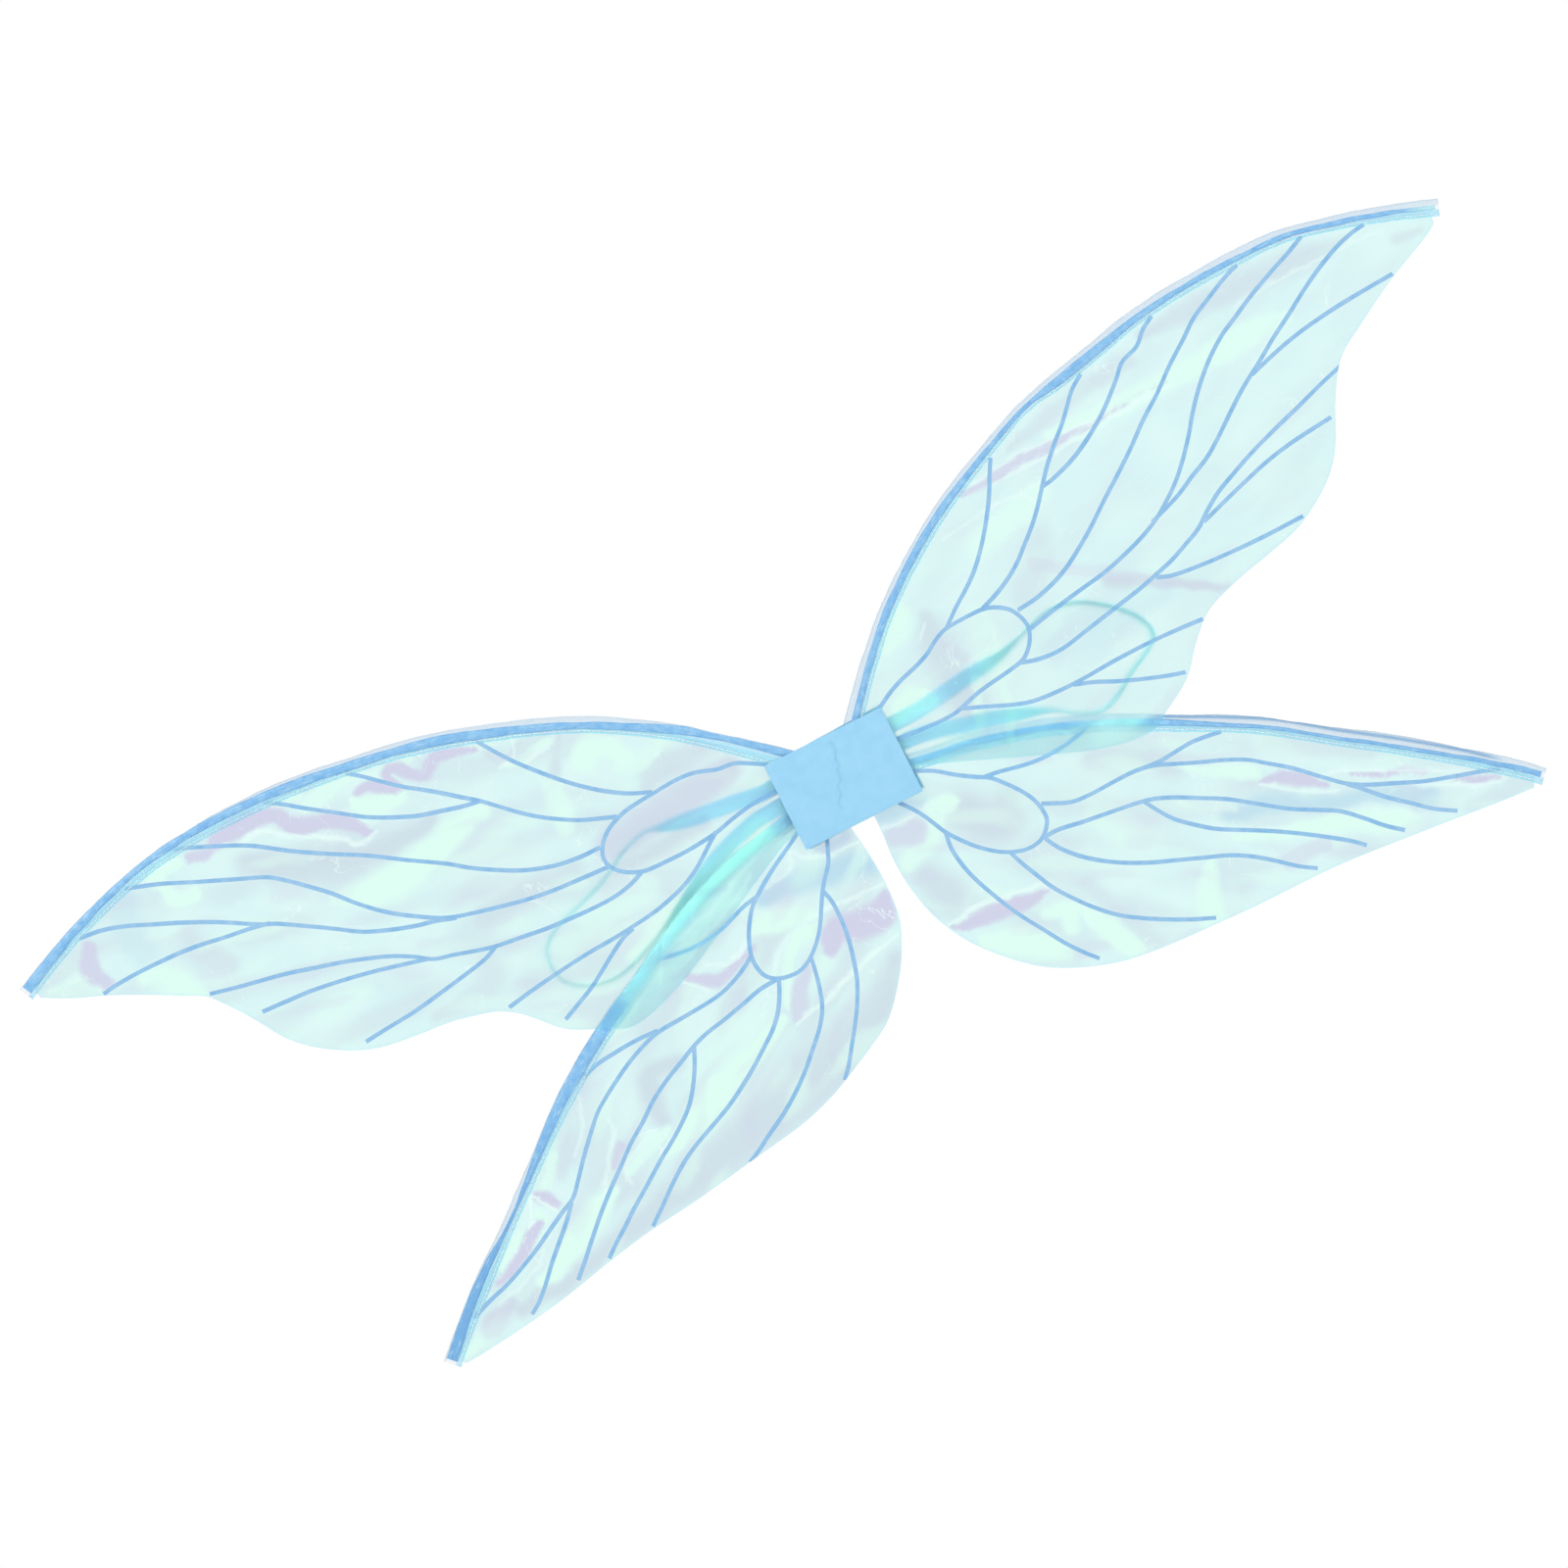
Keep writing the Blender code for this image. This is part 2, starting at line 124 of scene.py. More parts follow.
FRONT_PAD_BACK_Y = -9.1
FRONT_PAD_SHIFT = (-1.2, -0.4)
FRONT_PAD_TURN = math.radians(-1.8)
WIRE_R = 0.8

# ---------------------------------------------------------------- printed veins, in mm
VEIN_WIDTH = 2.6
VEINS = {
    ("upper", "right"): [
        [(34, 24.5), (41, 28), (50, 32.5), (60, 36), (70, 38.5), (80, 42), (88, 46.5), (97, 50),
         (110, 50.5), (122, 50), (130, 47.5), (138, 41.5), (142, 33), (142.5, 26), (139, 18.5),
         (133, 12.5), (128, 10.3), (118, 8.8), (105, 7.5), (95, 6), (85, 3.5), (78, 2), (68, 2), (55, 3.2),
         (40, 5), (34, 5.5)],
        [(98, 50), (110, 59), (120, 65.5), (130, 73), (140, 83), (150, 95), (160, 109), (167, 121),
         (172, 129)],
        [(123, 50), (135, 54), (145, 58.5), (155, 64.5), (165, 72.5), (175, 81), (183, 89), (190, 97),
         (200, 108), (210, 117.5), (220, 126), (228, 134), (236, 142), (245, 147.5)],
        [(190, 98), (200, 99.5), (215, 104), (228, 110), (240, 117), (250, 124), (262, 134), (271, 142),
         (283, 146), (291, 153), (300, 158)],
        [(142, 39), (155, 40), (168, 43), (180, 47.5), (192, 54), (205, 62), (220, 72.5), (235, 82.5),
         (250, 93), (265, 104.5), (280, 114.5), (295, 126), (310, 136), (322, 144.5), (335, 150.5),
         (350, 157), (361, 160.5)],
        [(142, 25), (155, 27.5), (170, 30), (185, 32), (200, 34), (215, 37.5), (230, 42), (243, 47.5),
         (255, 55), (265, 62.5), (275, 72), (285, 83), (293, 93), (302, 103), (312, 112.5), (322, 120.5),
         (333, 127.5), (345, 133), (360, 140), (378, 147), (392, 152), (404, 157)],
        [(240, 47), (250, 50), (262, 54), (275, 60), (288, 65.5), (300, 73), (312, 81.5), (325, 90.5),
         (335, 96.5), (345, 102), (360, 111), (375, 119), (390, 127.5), (405, 135), (420, 141), (432, 144),
         (441, 145)],
        [(337, 97), (350, 100.5), (365, 104), (380, 106.5), (400, 108.5), (420, 109.5), (442, 110)],
        [(128, 10), (137, 7), (148, 5.3), (158, 5.5), (170, 7.5), (185, 10), (200, 12.5), (215, 15),
         (228, 18), (240, 21), (252, 25.5), (263, 30), (273, 37), (285, 44), (300, 50), (315, 55.5),
         (335, 61.5), (355, 67), (372, 72), (388, 76)],
        [(268, 32), (282, 36), (300, 41), (320, 46), (340, 49), (367, 51)],
        [(226, 16), (235, 12.5), (250, 10), (270, 8), (295, 6.5), (323, 6)],
        [(83, 2.5), (92, -1.5), (102, -6), (112, -10.5), (122, -14), (135, -16), (155, -17), (180, -16.5),
         (205, -17), (225, -18.5), (239, -20)],
        [(150, -17.5), (162, -22), (175, -28.5), (190, -35), (203, -40), (214, -43.5)],
    ],
    ("lower", "right"): [
        [(34, -14), (40, -17.5), (50, -23), (60, -31), (70, -38), (78, -43), (85, -51), (92, -61),
         (96, -70), (97, -80), (94, -86), (88, -91), (80, -92.5), (72, -91), (62, -86), (52, -77.5),
         (44, -68), (38, -59), (34, -50), (29, -40), (22, -30), (19, -25)],
        [(76, -41), (85, -42.5), (95, -45), (105, -47), (116, -48), (128, -47.5), (140, -45.5), (150, -42)],
        [(98, -72), (105, -75.5), (115, -80), (128, -81.5), (145, -81.5), (158, -82), (170, -84.5),
         (182, -90), (195, -96), (210, -102.5), (222, -109), (232, -117), (243, -126), (255, -138),
         (264, -147), (270, -152), (280, -158), (295, -165), (310, -172), (330, -179), (345, -184),
         (355, -188)],
        [(164, -83), (174, -84), (185, -83.5), (197, -83), (208, -84.5), (216, -86)],
        [(268, -151), (275, -158), (285, -169), (297, -180), (308, -190), (320, -198)],
        [(89, -91), (100, -91), (115, -94), (130, -96.5), (148, -99.5), (160, -102.5), (172, -108),
         (185, -115.5), (200, -124.5), (215, -136), (230, -147.5), (245, -156.5), (257, -164), (268, -175),
         (277, -185), (286, -193)],
        [(154, -101), (159, -110), (165, -119), (173, -127), (185, -137), (200, -146), (215, -155),
         (230, -165), (245, -176), (255, -184), (261, -190)],
        [(90, -92), (94, -100), (102, -110), (112, -119), (125, -128), (140, -136), (155, -142.5),
         (170, -149), (185, -155.5), (197, -163), (208, -172), (218, -181), (228, -188)],
        [(67, -89), (70, -98), (75, -110), (80, -121), (88, -133), (97, -144.5), (108, -155.5),
         (120, -164), (133, -172), (146, -179), (159, -185)],
        [(38, -60), (36.5, -70), (38, -84), (42, -98), (48, -113), (54, -126), (62, -140), (70, -154),
         (77, -164), (84, -172.5)],
    ],
    ("upper", "left"): [
        [(38, 29.5), (50, 37), (56, 40), (66, 41.5), (74, 44.5), (82, 47), (94, 48), (106, 47.5),
         (118, 47), (128, 46), (137, 43.5), (144, 40), (150, 34.5), (153.5, 27.5), (152.5, 21), (148, 15),
         (141, 10.5), (134, 8), (122, 7), (108, 6.5), (94, 7), (84, 8), (75, 10), (66, 11.5), (57, 12.5),
         (38, 12.5)],
        [(108, 48.5), (120, 54), (130, 60.5), (140, 68.5), (150, 78), (160, 89), (170, 101), (178, 112),
         (185, 123), (189, 130)],
        [(134, 45.5), (145, 50), (155, 54.5), (165, 60.5), (175, 67.5), (185, 76), (195, 86), (203, 94),
         (212, 101.5), (222, 110), (232, 118), (240, 124), (250, 133), (260, 142.5), (267, 148)],
        [(203, 94), (215, 96.5), (225, 99.5), (240, 104), (250, 108.5), (260, 113.5), (270, 119.5),
         (280, 127), (290, 134.5), (300, 142), (310, 150), (320, 157)],
        [(152, 34), (165, 34.5), (178, 36.5), (190, 40), (202, 45), (215, 52.5), (228, 61), (240, 70.5),
         (260, 84), (280, 98), (300, 110), (320, 123), (340, 137.5), (360, 148), (383, 158.5)],
        [(153, 21), (170, 22.5), (190, 24.5), (205, 27), (220, 30.5), (235, 34.5), (250, 39), (260, 43.5),
         (270, 50), (280, 57), (290, 65.5), (300, 76), (310, 88), (320, 98), (330, 107.5), (340, 115.5),
         (355, 122.5), (380, 134), (400, 143.5), (420, 151)],
        [(250, 38), (262, 42.5), (275, 46), (290, 51.5), (305, 58.5), (320, 69), (335, 79), (348, 87.5),
         (358, 92.5), (380, 106), (400, 116.5), (415, 123.5), (430, 130.5), (445, 135.5), (459, 137.5)],
        [(352, 90), (365, 93), (380, 95.5), (395, 98.5), (410, 100.5), (425, 101.5), (440, 102),
         (455, 101.5), (462, 100.5)],
        [(137, 8.5), (145, 5.5), (155, 3.5), (165, 3), (178, 3.5), (190, 4.5), (205, 6), (220, 8.5),
         (238, 11.5), (250, 15), (262, 19), (274, 22.5), (284, 29.5), (296, 36.5), (310, 42.5), (325, 48),
         (340, 52.5), (358, 58), (375, 62), (390, 65.5), (405, 69.5)],
        [(276, 24), (290, 28), (310, 33.5), (330, 38), (350, 41.5), (365, 43), (382, 44.5)],
        [(238, 11), (247, 7.5), (262, 5), (280, 2.5), (300, 0), (320, -1), (335, -2)],
        [(85, 8.5), (92, 4), (100, -1.5), (108, -6.5), (118, -11), (128, -14), (140, -16.5), (155, -18),
         (170, -19), (190, -19.5), (210, -21), (230, -23), (248, -25.5)],
        [(158, -19.5), (166, -21.5), (176, -26.5), (188, -33.5), (198, -39), (210, -44), (221, -48.5)],
    ],
    ("lower", "left"): [
        [(40, -15), (44, -17.5), (52, -21.5), (62, -26.5), (72, -32), (80, -37), (88, -43), (95, -52),
         (100, -61), (103, -70), (103, -78), (101, -84), (96, -88.5), (88, -91), (80, -91), (72, -87.5),
         (64, -81), (57, -73), (50, -62), (44, -53), (38, -46), (34, -41.5), (29, -31), (26, -24)],
        [(82, -38.5), (92, -40), (102, -43), (112, -46), (128, -47.5), (142, -46), (155, -43)],
        [(103, -69), (112, -74), (122, -78), (132, -80.5), (145, -81.5), (160, -82), (175, -82.5),
         (187, -85.5), (200, -90.5), (212, -96.5), (222, -102), (232, -108.5), (242, -118), (252, -128),
         (262, -139), (270, -147), (280, -151.5), (292, -157.5), (305, -164), (318, -169.5), (330, -174),
         (345, -178), (358, -182.5)],
        [(175, -81.5), (190, -80.5), (205, -81), (218, -82), (228, -85)],
        [(272, -149), (280, -157.5), (290, -166.5), (300, -175.5), (310, -185.5), (318, -192.5),
         (326, -197.5)],
        [(96, -89), (108, -89.5), (120, -92), (135, -95), (150, -97.5), (160, -100.5), (172, -105.5),
         (185, -111), (198, -118), (210, -126.5), (222, -134), (235, -144), (248, -154), (260, -164),
         (272, -175), (282, -184.5), (291, -192.5)],
        [(160, -100.5), (165, -110.5), (172, -121.5), (180, -131), (190, -139), (200, -145.5),
         (212, -152.5), (225, -161), (240, -170.5), (250, -177.5), (260, -184), (268, -190)],
        [(95, -90), (99, -98), (105, -107), (113, -115), (123, -122), (135, -130), (148, -137.5),
         (160, -143.5), (175, -149.5), (188, -154.5), (200, -160.5), (212, -168.5), (224, -177.5),
         (235, -185.5)],
        [(71, -87), (73, -97), (76, -108), (80, -118), (87, -127.5), (97, -137), (108, -147), (120, -156),
         (133, -164), (146, -170.5), (155, -175.5), (164, -179.5)],
        [(45.5, -54), (43.5, -62), (43.5, -74), (45, -86), (48.5, -100), (53, -113), (60, -126),
         (68, -137.5), (76, -148), (83, -157), (89, -163)],
    ],
}

# ---------------------------------------------------------------- hems, in mm, outwards positive
# Each row: the run along the wire, then how far from it lie the hem's fold, the printed band's outer and
# inner edge, and the stitches.
HEMS = {
    ("upper", "right"): [
        (0, 5.8, 1.6, -2.6, -4), (40, 4.8, 1.4, -2.8, -4), (80, 4.2, 1.6, -3, -4),
        (120, 3.7, 1.6, -2.9, -4.2), (150, 4.4, 2, -2.9, -3.6), (180, 3.9, 1.2, -2.5, -3.2),
        (200, 4.2, 1.2, -1.9, -2.6), (220, 5, 2.2, -0.8, -1), (232, 5, 2.2, -1.2, -1.6),
        (247, 4.8, 2, -3.8, -4), (262, 4.2, 1.8, -4.5, -4.8), (280, 4.4, 1.4, -4.5, -4.8),
        (295, 5, 1.6, -3.6, -3.8), (310, 5.2, 1.6, -3, -3.2), (340, 4.6, 1, -2.8, -3.8),
        (360, 3.9, 0.8, -2.8, -4), (390, 4.6, 0.5, -2.6, -3.8), (420, 4.8, 1.8, -1.4, -2.2),
        (450, 5, 1.8, -1.6, -2.6), (480, 5, 1.6, -1.4, -3.4), (500, 5.8, 1.8, -0.8, -3.4)],
    ("lower", "right"): [
        (0, 5, 1.5, -2.5, -4.5), (130, 5, 1.5, -2.5, -4.5), (155, 4.1, 1.7, -3.1, -5.1),
        (180, 3.8, 0.6, -3, -5), (200, 4.4, -0.6, -3.6, -5), (240, 3, -1.4, -3.8, -6),
        (260, 4, -1, -3.4, -5.5), (290, 5, -0.8, -3.2, -5.4), (320, 4.6, -1, -3.6, -5.6),
        (345, 4, -0.4, -3, -5.4), (370, 5, 1, -2, -5), (385, 5.2, 2.6, -1.4, -4)],
    ("upper", "left"): [
        (0, 5, 5, -0.4, -6.5), (20, 4.8, 4.6, -0.2, -5.3), (40, 4.5, 4.3, 0.3, -4.5),
        (60, 4.6, 4.4, -1, -4.4), (80, 4.2, 3, -2.8, -4.6), (100, 4.2, 1.2, -3.6, -4.8),
        (130, 4, 0.4, -4, -5), (160, 4, 0.8, -4.4, -5.2), (190, 3.8, 1, -4.8, -5.6),
        (220, 4, 2, -4.4, -5.4), (250, 4.2, 1.6, -3.2, -4.6), (270, 4, 1.8, -3.8, -4.6),
        (300, 4.8, 3.2, -2.8, -4.4), (320, 5.2, 3.6, -2.2, -4.4), (350, 4.6, 3.8, -1.6, -4.8),
        (380, 3.8, 3.6, -1.4, -4.8), (420, 3.4, 3.2, -1.2, -4.6), (450, 3.6, 3.4, -1.6, -4.2),
        (480, 4, 3.8, -2.2, -4), (510, 4, 3.8, -3, -4.2)],
    ("lower", "left"): [
        (0, 4.8, 4.6, -3, -4.6), (150, 4.8, 4.6, -3, -4.6), (175, 4.6, 4.4, -3.6, -4.6),
        (200, 4.6, 4.4, -3.6, -5), (220, 4.6, 4.4, -2.6, -4.8), (240, 4.1, 3.9, -2.3, -4.1),
        (260, 4.2, 3.4, -1.6, -3), (290, 4.4, 1.4, -1, -2.6), (310, 4, 1.5, -0.9, -2.7),
        (330, 4.4, 3.4, -1.2, -4.2), (350, 4.4, 4, -2, -5.4), (370, 4.2, 4, -2.4, -5.2),
        (390, 4.6, 3.4, -3.8, -5)],
}
TIP_LENGTH = 5.5
HEM_LEAD = 8.0
HEM_STEP = 2.5
# Where the upper film lies over the lower hems, their band is painted paler, a painted haze for the light
# seen through that film: from, to and how far. It also fades at one tip, and is deeper further out on the
# lower hems.
PAINTED_HAZE_ON_HEMS = {("lower", "left"): (-10, 158, 0.9), ("lower", "right"): (100, 156, 0.8)}
TIP_FADE = {("upper", "right"): 0.8}
DEEP_PRINT = {("lower", "left"): 1.0, ("lower", "right"): 0.35}
# The lower right hem has a second, thinner streak: its run, its place beside the wire and its half width.
STREAKED_HEM = ("lower", "right")
STREAK_RUN, STREAK_AT, STREAK_HALF = (150, 375), 2.8, 0.9

# ---------------------------------------------------------------- folds and sheen of each film, in mm
# Each tone's strokes: a stroke's strength, then its route's points (x, z, half width). The film rises or
# sinks with the tones. The tones are painted sheen and shade: mint is a painted glint on slopes towards the
# light, mauve and grey painted sheen and shade on slopes turned from it, blue a darker tone that is painted
# shadow just under the pads, and a line is the painted highlight on the edge of a crease.
FOLD_HEIGHT = {"mint": 0.9, "mauve": -1.0, "grey": -0.5, "blue": -0.4, "line": 0.8}
STROKE_SOFT = {"mint": 0.5, "mauve": 0.35, "grey": 0.8, "blue": 0.7, "line": 0.5}
# How much loose streaky sheen each film has besides its strokes.
HAZE = {("upper", "right"): 0.16, ("lower", "right"): 0.34,
        ("upper", "left"): 0.34, ("lower", "left"): 0.40}
SHEENS = {
    ("upper", "right"): {
        "grey": [
            (0.9, (90, 62, 5), (88, 38, 13), (88, 5, 12)),
            (0.6, (150, 45, 10), (165, 60, 14), (175, 72, 8)),
            (0.7, (185, 128, 3), (220, 135, 6), (255, 140, 6), (275, 140, 5)),
            (0.85, (290, 150, 4), (330, 150, 8), (380, 146, 9), (405, 144, 7), (425, 142, 3)),
            (1, (200, 28, 5), (225, 14, 4), (250, -2, 3), (262, -10, 3)),
            (0.6, (455, 128, 4), (470, 124, 3))],
        "mint": [
            (0.5, (118, 48, 8), (112, 10, 8)), (1, (46, 17, 5), (58, 22, 8), (68, 16, 5)),
            (0.9, (60, 58, 5), (70, 64, 8), (78, 72, 6)), (0.7, (140, 85, 8), (160, 90, 8), (185, 95, 8)),
            (0.9, (210, 124, 3), (250, 120, 6), (300, 119, 7), (345, 120, 8), (370, 118, 5)),
            (0.7, (60, -10, 2), (85, -14, 3), (92, 0, 3), (100, 14, 3)),
            (0.7, (100, -30, 2), (108, -14, 3), (112, 4, 3))],
        "line": [
            (0.7, (81, 52, 1.2), (88, 59, 1.2)), (0.8, (140, 121, 1), (200, 122, 1.4), (250, 119, 1)),
            (0.8, (165, 114, 1), (215, 113.5, 1.4), (260, 116, 1.4), (290, 115, 1)),
            (0.6, (345, 139, 1), (395, 140, 1.3), (450, 137, 1)),
            (0.6, (122, 99, 1), (160, 102, 1.3), (200, 101, 1)),
            (0.7, (62, -14, 1), (95, -24, 1.2), (130, -38, 1.2), (160, -48, 1))],
        "mauve": [
            (0.8, (146, 117, 1.5), (165, 118, 3.5), (200, 118, 4), (225, 118, 2.5), (260, 118, 1)),
            (0.4, (255, 118.5, 1.5), (290, 118.5, 1)),
            (0.35, (163, 60, 4), (200, 33, 4), (226, 12, 3), (256, -7, 2)),
            (0.3, (92, 45, 4), (100, 30, 4))],
        "blue": [
            (0.25, (150, 8, 10), (175, 4, 12), (225, 8, 8))],
    },
    ("lower", "right"): {
        "blue": [
            # The first blue stroke, just under the pad, is the pad's painted shadow on the film.
            (0.8, (5, -33, 5), (35, -33, 5)),
            (0.8, (195, -133, 5), (225, -141, 6), (255, -157, 5), (280, -165, 5), (310, -182, 6))],
        "mauve": [
            (0.7, (8, -47, 7), (22, -50, 8)),
            (1, (13, -112, 1.5), (25, -115, 4), (45, -117.5, 6), (60, -120, 5), (78, -122, 1)),
            (1, (224, -125, 1.5), (236, -129, 4.5), (248, -138, 4), (258, -146, 2)),
            (1, (272, -147, 1), (290, -156, 2), (303, -161, 2), (315, -168, 1.2)),
            (1, (325, -180, 1), (340, -186, 2.5), (352, -192, 1.5)),
            (0.5, (215, -175, 6), (240, -178, 4))],
        "mint": [
            (1, (38, -42, 4), (46, -44, 6), (52, -45, 3)), (0.8, (8, -64, 5), (25, -60, 6), (38, -50, 5)),
            (1, (28, -130, 5), (42, -138, 10), (58, -150, 9), (68, -160, 5)),
            (0.9, (68, -132, 4), (80, -136, 6), (78, -148, 5)),
            (1, (86, -135, 2), (94, -150, 5), (100, -165, 7), (106, -177, 6)),
            (0.45, (125, -95, 8), (135, -112, 10), (145, -125, 8)),
            (0.9, (175, -150, 2), (168, -160, 5), (160, -175, 8), (157, -185, 8)),
            (0.9, (180, -90, 1.5), (195, -102, 3), (205, -108, 4), (218, -115, 5), (222, -121, 2)),
            (0.7, (172, -112, 1.5), (185, -122, 2), (200, -130, 2.5)),
            (0.9, (192, -147, 2), (205, -152, 3), (225, -160, 4), (250, -168, 6), (265, -176, 7),
             (285, -186, 7), (295, -192, 5))],
        "line": [
            (0.7, (5, -40, 1), (25, -41, 1)),
            (1, (12, -110, 1), (30, -109, 1.5), (50, -111, 1.5), (70, -115, 1.3), (80, -119, 1)),
            (0.9, (222, -126, 1), (235, -137, 1.3), (250, -147, 1.3), (262, -152, 1)),
            (0.8, (258, -137, 1), (280, -148, 1.3), (300, -159, 1.3), (318, -169, 1.3), (340, -182, 1)),
            (0.8, (295, -165, 1), (315, -177, 1.3), (335, -188, 1.3), (350, -194, 1.3), (358, -192, 1))],
        "grey": [
            (0.9, (15, -78, 8), (22, -95, 12)), (1, (55, -55, 14), (70, -70, 14), (80, -60, 10)),
            (0.6, (98, -128, 5), (108, -150, 6), (115, -170, 8), (120, -180, 8)),
            (0.5, (180, -160, 5), (185, -175, 8)), (0.8, (140, -62, 8), (165, -75, 8), (180, -90, 8)),
            (0.6, (240, -105, 6), (265, -122, 6), (290, -140, 5)), (0.6, (330, -200, 5), (365, -204, 4))],
    },
    ("upper", "left"): {
        "mauve": [
            (0.45, (60, 38, 8), (100, 36, 11), (145, 32, 10)),
            (1, (190, 124, 2), (205, 128, 3), (215, 130, 4), (225, 124, 4), (232, 128, 4), (240, 137, 4),
             (246, 135, 3), (243, 125, 3)), (1, (246, 125, 3), (258, 134, 4), (266, 134, 3)),
            (1, (272, 110, 3), (278, 118, 5), (290, 128, 6), (303, 132, 6), (312, 138, 5), (318, 147, 5),
             (330, 150, 6), (345, 151, 6), (358, 150, 5)),
            (0.9, (362, 147, 3), (368, 146, 4), (376, 149, 3)),
            (0.9, (455, 130, 4), (462, 118, 6), (458, 105, 4))],
        "grey": [
            (0.9, (60, 38, 8), (100, 34, 11), (145, 30, 10)),
            (0.9, (90, 18, 5), (120, 17, 6), (150, 16, 5)), (0.8, (70, 58, 6), (95, 58, 10), (110, 52, 5)),
            (0.8, (143, 106, 3), (150, 95, 4), (158, 82, 3)),
            (0.8, (165, 114, 3), (180, 110, 3), (186, 118, 3)),
            (1, (235, 97, 6), (265, 97, 9), (300, 104, 14), (325, 114, 12), (345, 128, 8)),
            (0.85, (175, 28, 8), (205, 30, 10), (235, 30, 8)),
            (0.7, (385, 78, 6), (395, 90, 10), (400, 105, 8)),
            (0.6, (245, 5, 10), (255, -8, 8), (290, -10, 4))],
        "mint": [
            (1, (112, 75, 6), (125, 92, 8), (135, 85, 8)), (0.7, (88, 72, 4), (105, 68, 5), (118, 70, 4)),
            (0.8, (160, 80, 6), (162, 65, 7), (165, 55, 5)),
            (0.8, (150, 108, 2), (165, 103, 3), (178, 106, 2)), (0.8, (228, 138, 3), (236, 134, 2)),
            (1, (245, 120, 5), (262, 122, 7), (270, 128, 4)),
            (0.8, (262, 146, 2), (285, 144, 6), (300, 142, 4)),
            (1, (385, 150, 4), (400, 148, 5), (398, 140, 4), (395, 130, 6), (385, 128, 5)),
            (0.8, (300, 150, 3), (312, 153, 3)),
            (1, (205, 88, 5), (225, 86, 8), (245, 80, 9), (268, 76, 11), (290, 78, 9), (310, 84, 4)),
            (0.5, (140, 0, 8), (175, -5, 8), (200, -8, 8)),
            (0.9, (410, 72, 5), (422, 88, 9), (435, 97, 6)), (0.8, (470, 112, 6), (490, 115, 5)),
            (0.8, (60, -2, 6), (80, -10, 7), (115, -18, 7), (140, -25, 6), (165, -35, 5)),
            (0.35, (58, -11, 1.5), (85, -23, 2.5), (110, -33, 3), (130, -43, 3), (158, -54, 4))],
        "line": [
            (0.8, (143, 109, 1), (155, 103, 1.3), (168, 101, 1)),
            (0.8, (168, 118, 1), (172, 108, 1.3), (182, 106, 1)),
            (1, (268, 108, 1), (280, 107, 1.3), (290, 115, 1.5), (305, 124, 1.5), (318, 134, 1.5),
             (330, 141, 1.3), (345, 142, 1.3), (355, 147, 1)),
            (0.9, (55, -12, 1), (75, -18, 1.3), (102, -29, 1.3), (128, -36, 1.2), (150, -42, 1)),
            (0.8, (78, -25, 1), (100, -36, 1.2), (122, -45, 1.2), (148, -54, 1)),
            (0.7, (98, -9, 1), (118, -22, 1.2), (125, -34, 1)),
            (0.7, (140, -30, 1), (152, -44, 1.2), (158, -58, 1))],
        "blue": [
            (0.35, (420, 146, 6), (430, 130, 10), (428, 108, 9))],
    },
    ("lower", "left"): {
        "blue": [
            # The first blue stroke, just under the pad, is the pad's painted shadow; the first mauve stroke
            # darkens it.
            (1, (18, -32, 4), (35, -33, 4)), (1, (12, -52, 8), (35, -47, 8), (60, -43, 7), (80, -41, 5))],
        "mauve": [
            (0.35, (18, -31, 5), (32, -32, 5)),
            (0.9, (100, -66, 2), (115, -69, 3), (128, -72, 4), (135, -68, 4), (142, -62, 3)),
            (1, (12, -76, 4), (20, -84, 9), (35, -84, 10), (50, -80, 8), (58, -88, 5)),
            (0.7, (75, -92, 3), (85, -100, 5), (92, -112, 5), (98, -117, 2)),
            (0.8, (228, -133, 3), (238, -142, 3)),
            (0.2, (240, -95, 3), (255, -108, 4), (262, -122, 4), (270, -132, 3)),
            (1, (280, -145, 3), (284, -140, 4), (290, -136, 3)),
            (1, (295, -150, 3), (303, -155, 4), (315, -163, 4), (325, -168, 3), (335, -172, 2)),
            (0.35, (335, -186, 5), (352, -192, 7))],
        "line": [
            (0.8, (12, -39, 1), (30, -37, 1.3), (45, -33, 1.3), (52, -24, 1)),
            (0.7, (52, -24, 1), (58, -34, 1.2), (75, -37, 1)),
            (0.9, (10, -69, 1), (30, -67, 1.4), (50, -65, 1.4), (60, -65, 1)),
            (0.7, (78, -68, 1), (87, -76, 1.3), (95, -85, 1)),
            (0.8, (95, -55, 1), (105, -62, 1.3), (118, -65, 1.3), (130, -60, 1)),
            (0.7, (135, -75, 1), (142, -68, 1.2), (148, -62, 1)),
            (1, (16, -100, 1), (45, -106, 1.5), (70, -113, 1.5), (98, -119, 1)),
            (0.7, (205, -135, 1), (220, -139, 1.2), (232, -147, 1.2), (234, -155, 1)),
            (0.8, (228, -115, 1), (228, -125, 1.2), (235, -132, 1.2), (242, -138, 1.2), (248, -150, 1.2),
             (253, -155, 1)), (0.7, (237, -92, 1), (240, -105, 1.2), (247, -115, 1.2), (256, -124, 1)),
            (1, (283, -148, 1), (288, -140, 1.2), (293, -134, 1)),
            (1, (293, -134, 1), (298, -145, 1.2), (302, -150, 1)),
            (0.6, (342, -174, 1.2), (348, -177, 1.2)),
            (0.6, (300, -167, 1), (320, -178, 1.3), (340, -182, 1))],
        "mint": [
            (1, (60, -62, 4), (75, -58, 7), (90, -55, 6)),
            (0.9, (55, -75, 3), (70, -72, 5), (80, -78, 4), (88, -88, 3), (92, -98, 3), (98, -108, 2)),
            (1, (105, -112, 3), (125, -120, 6), (150, -128, 9), (170, -135, 10), (190, -145, 6),
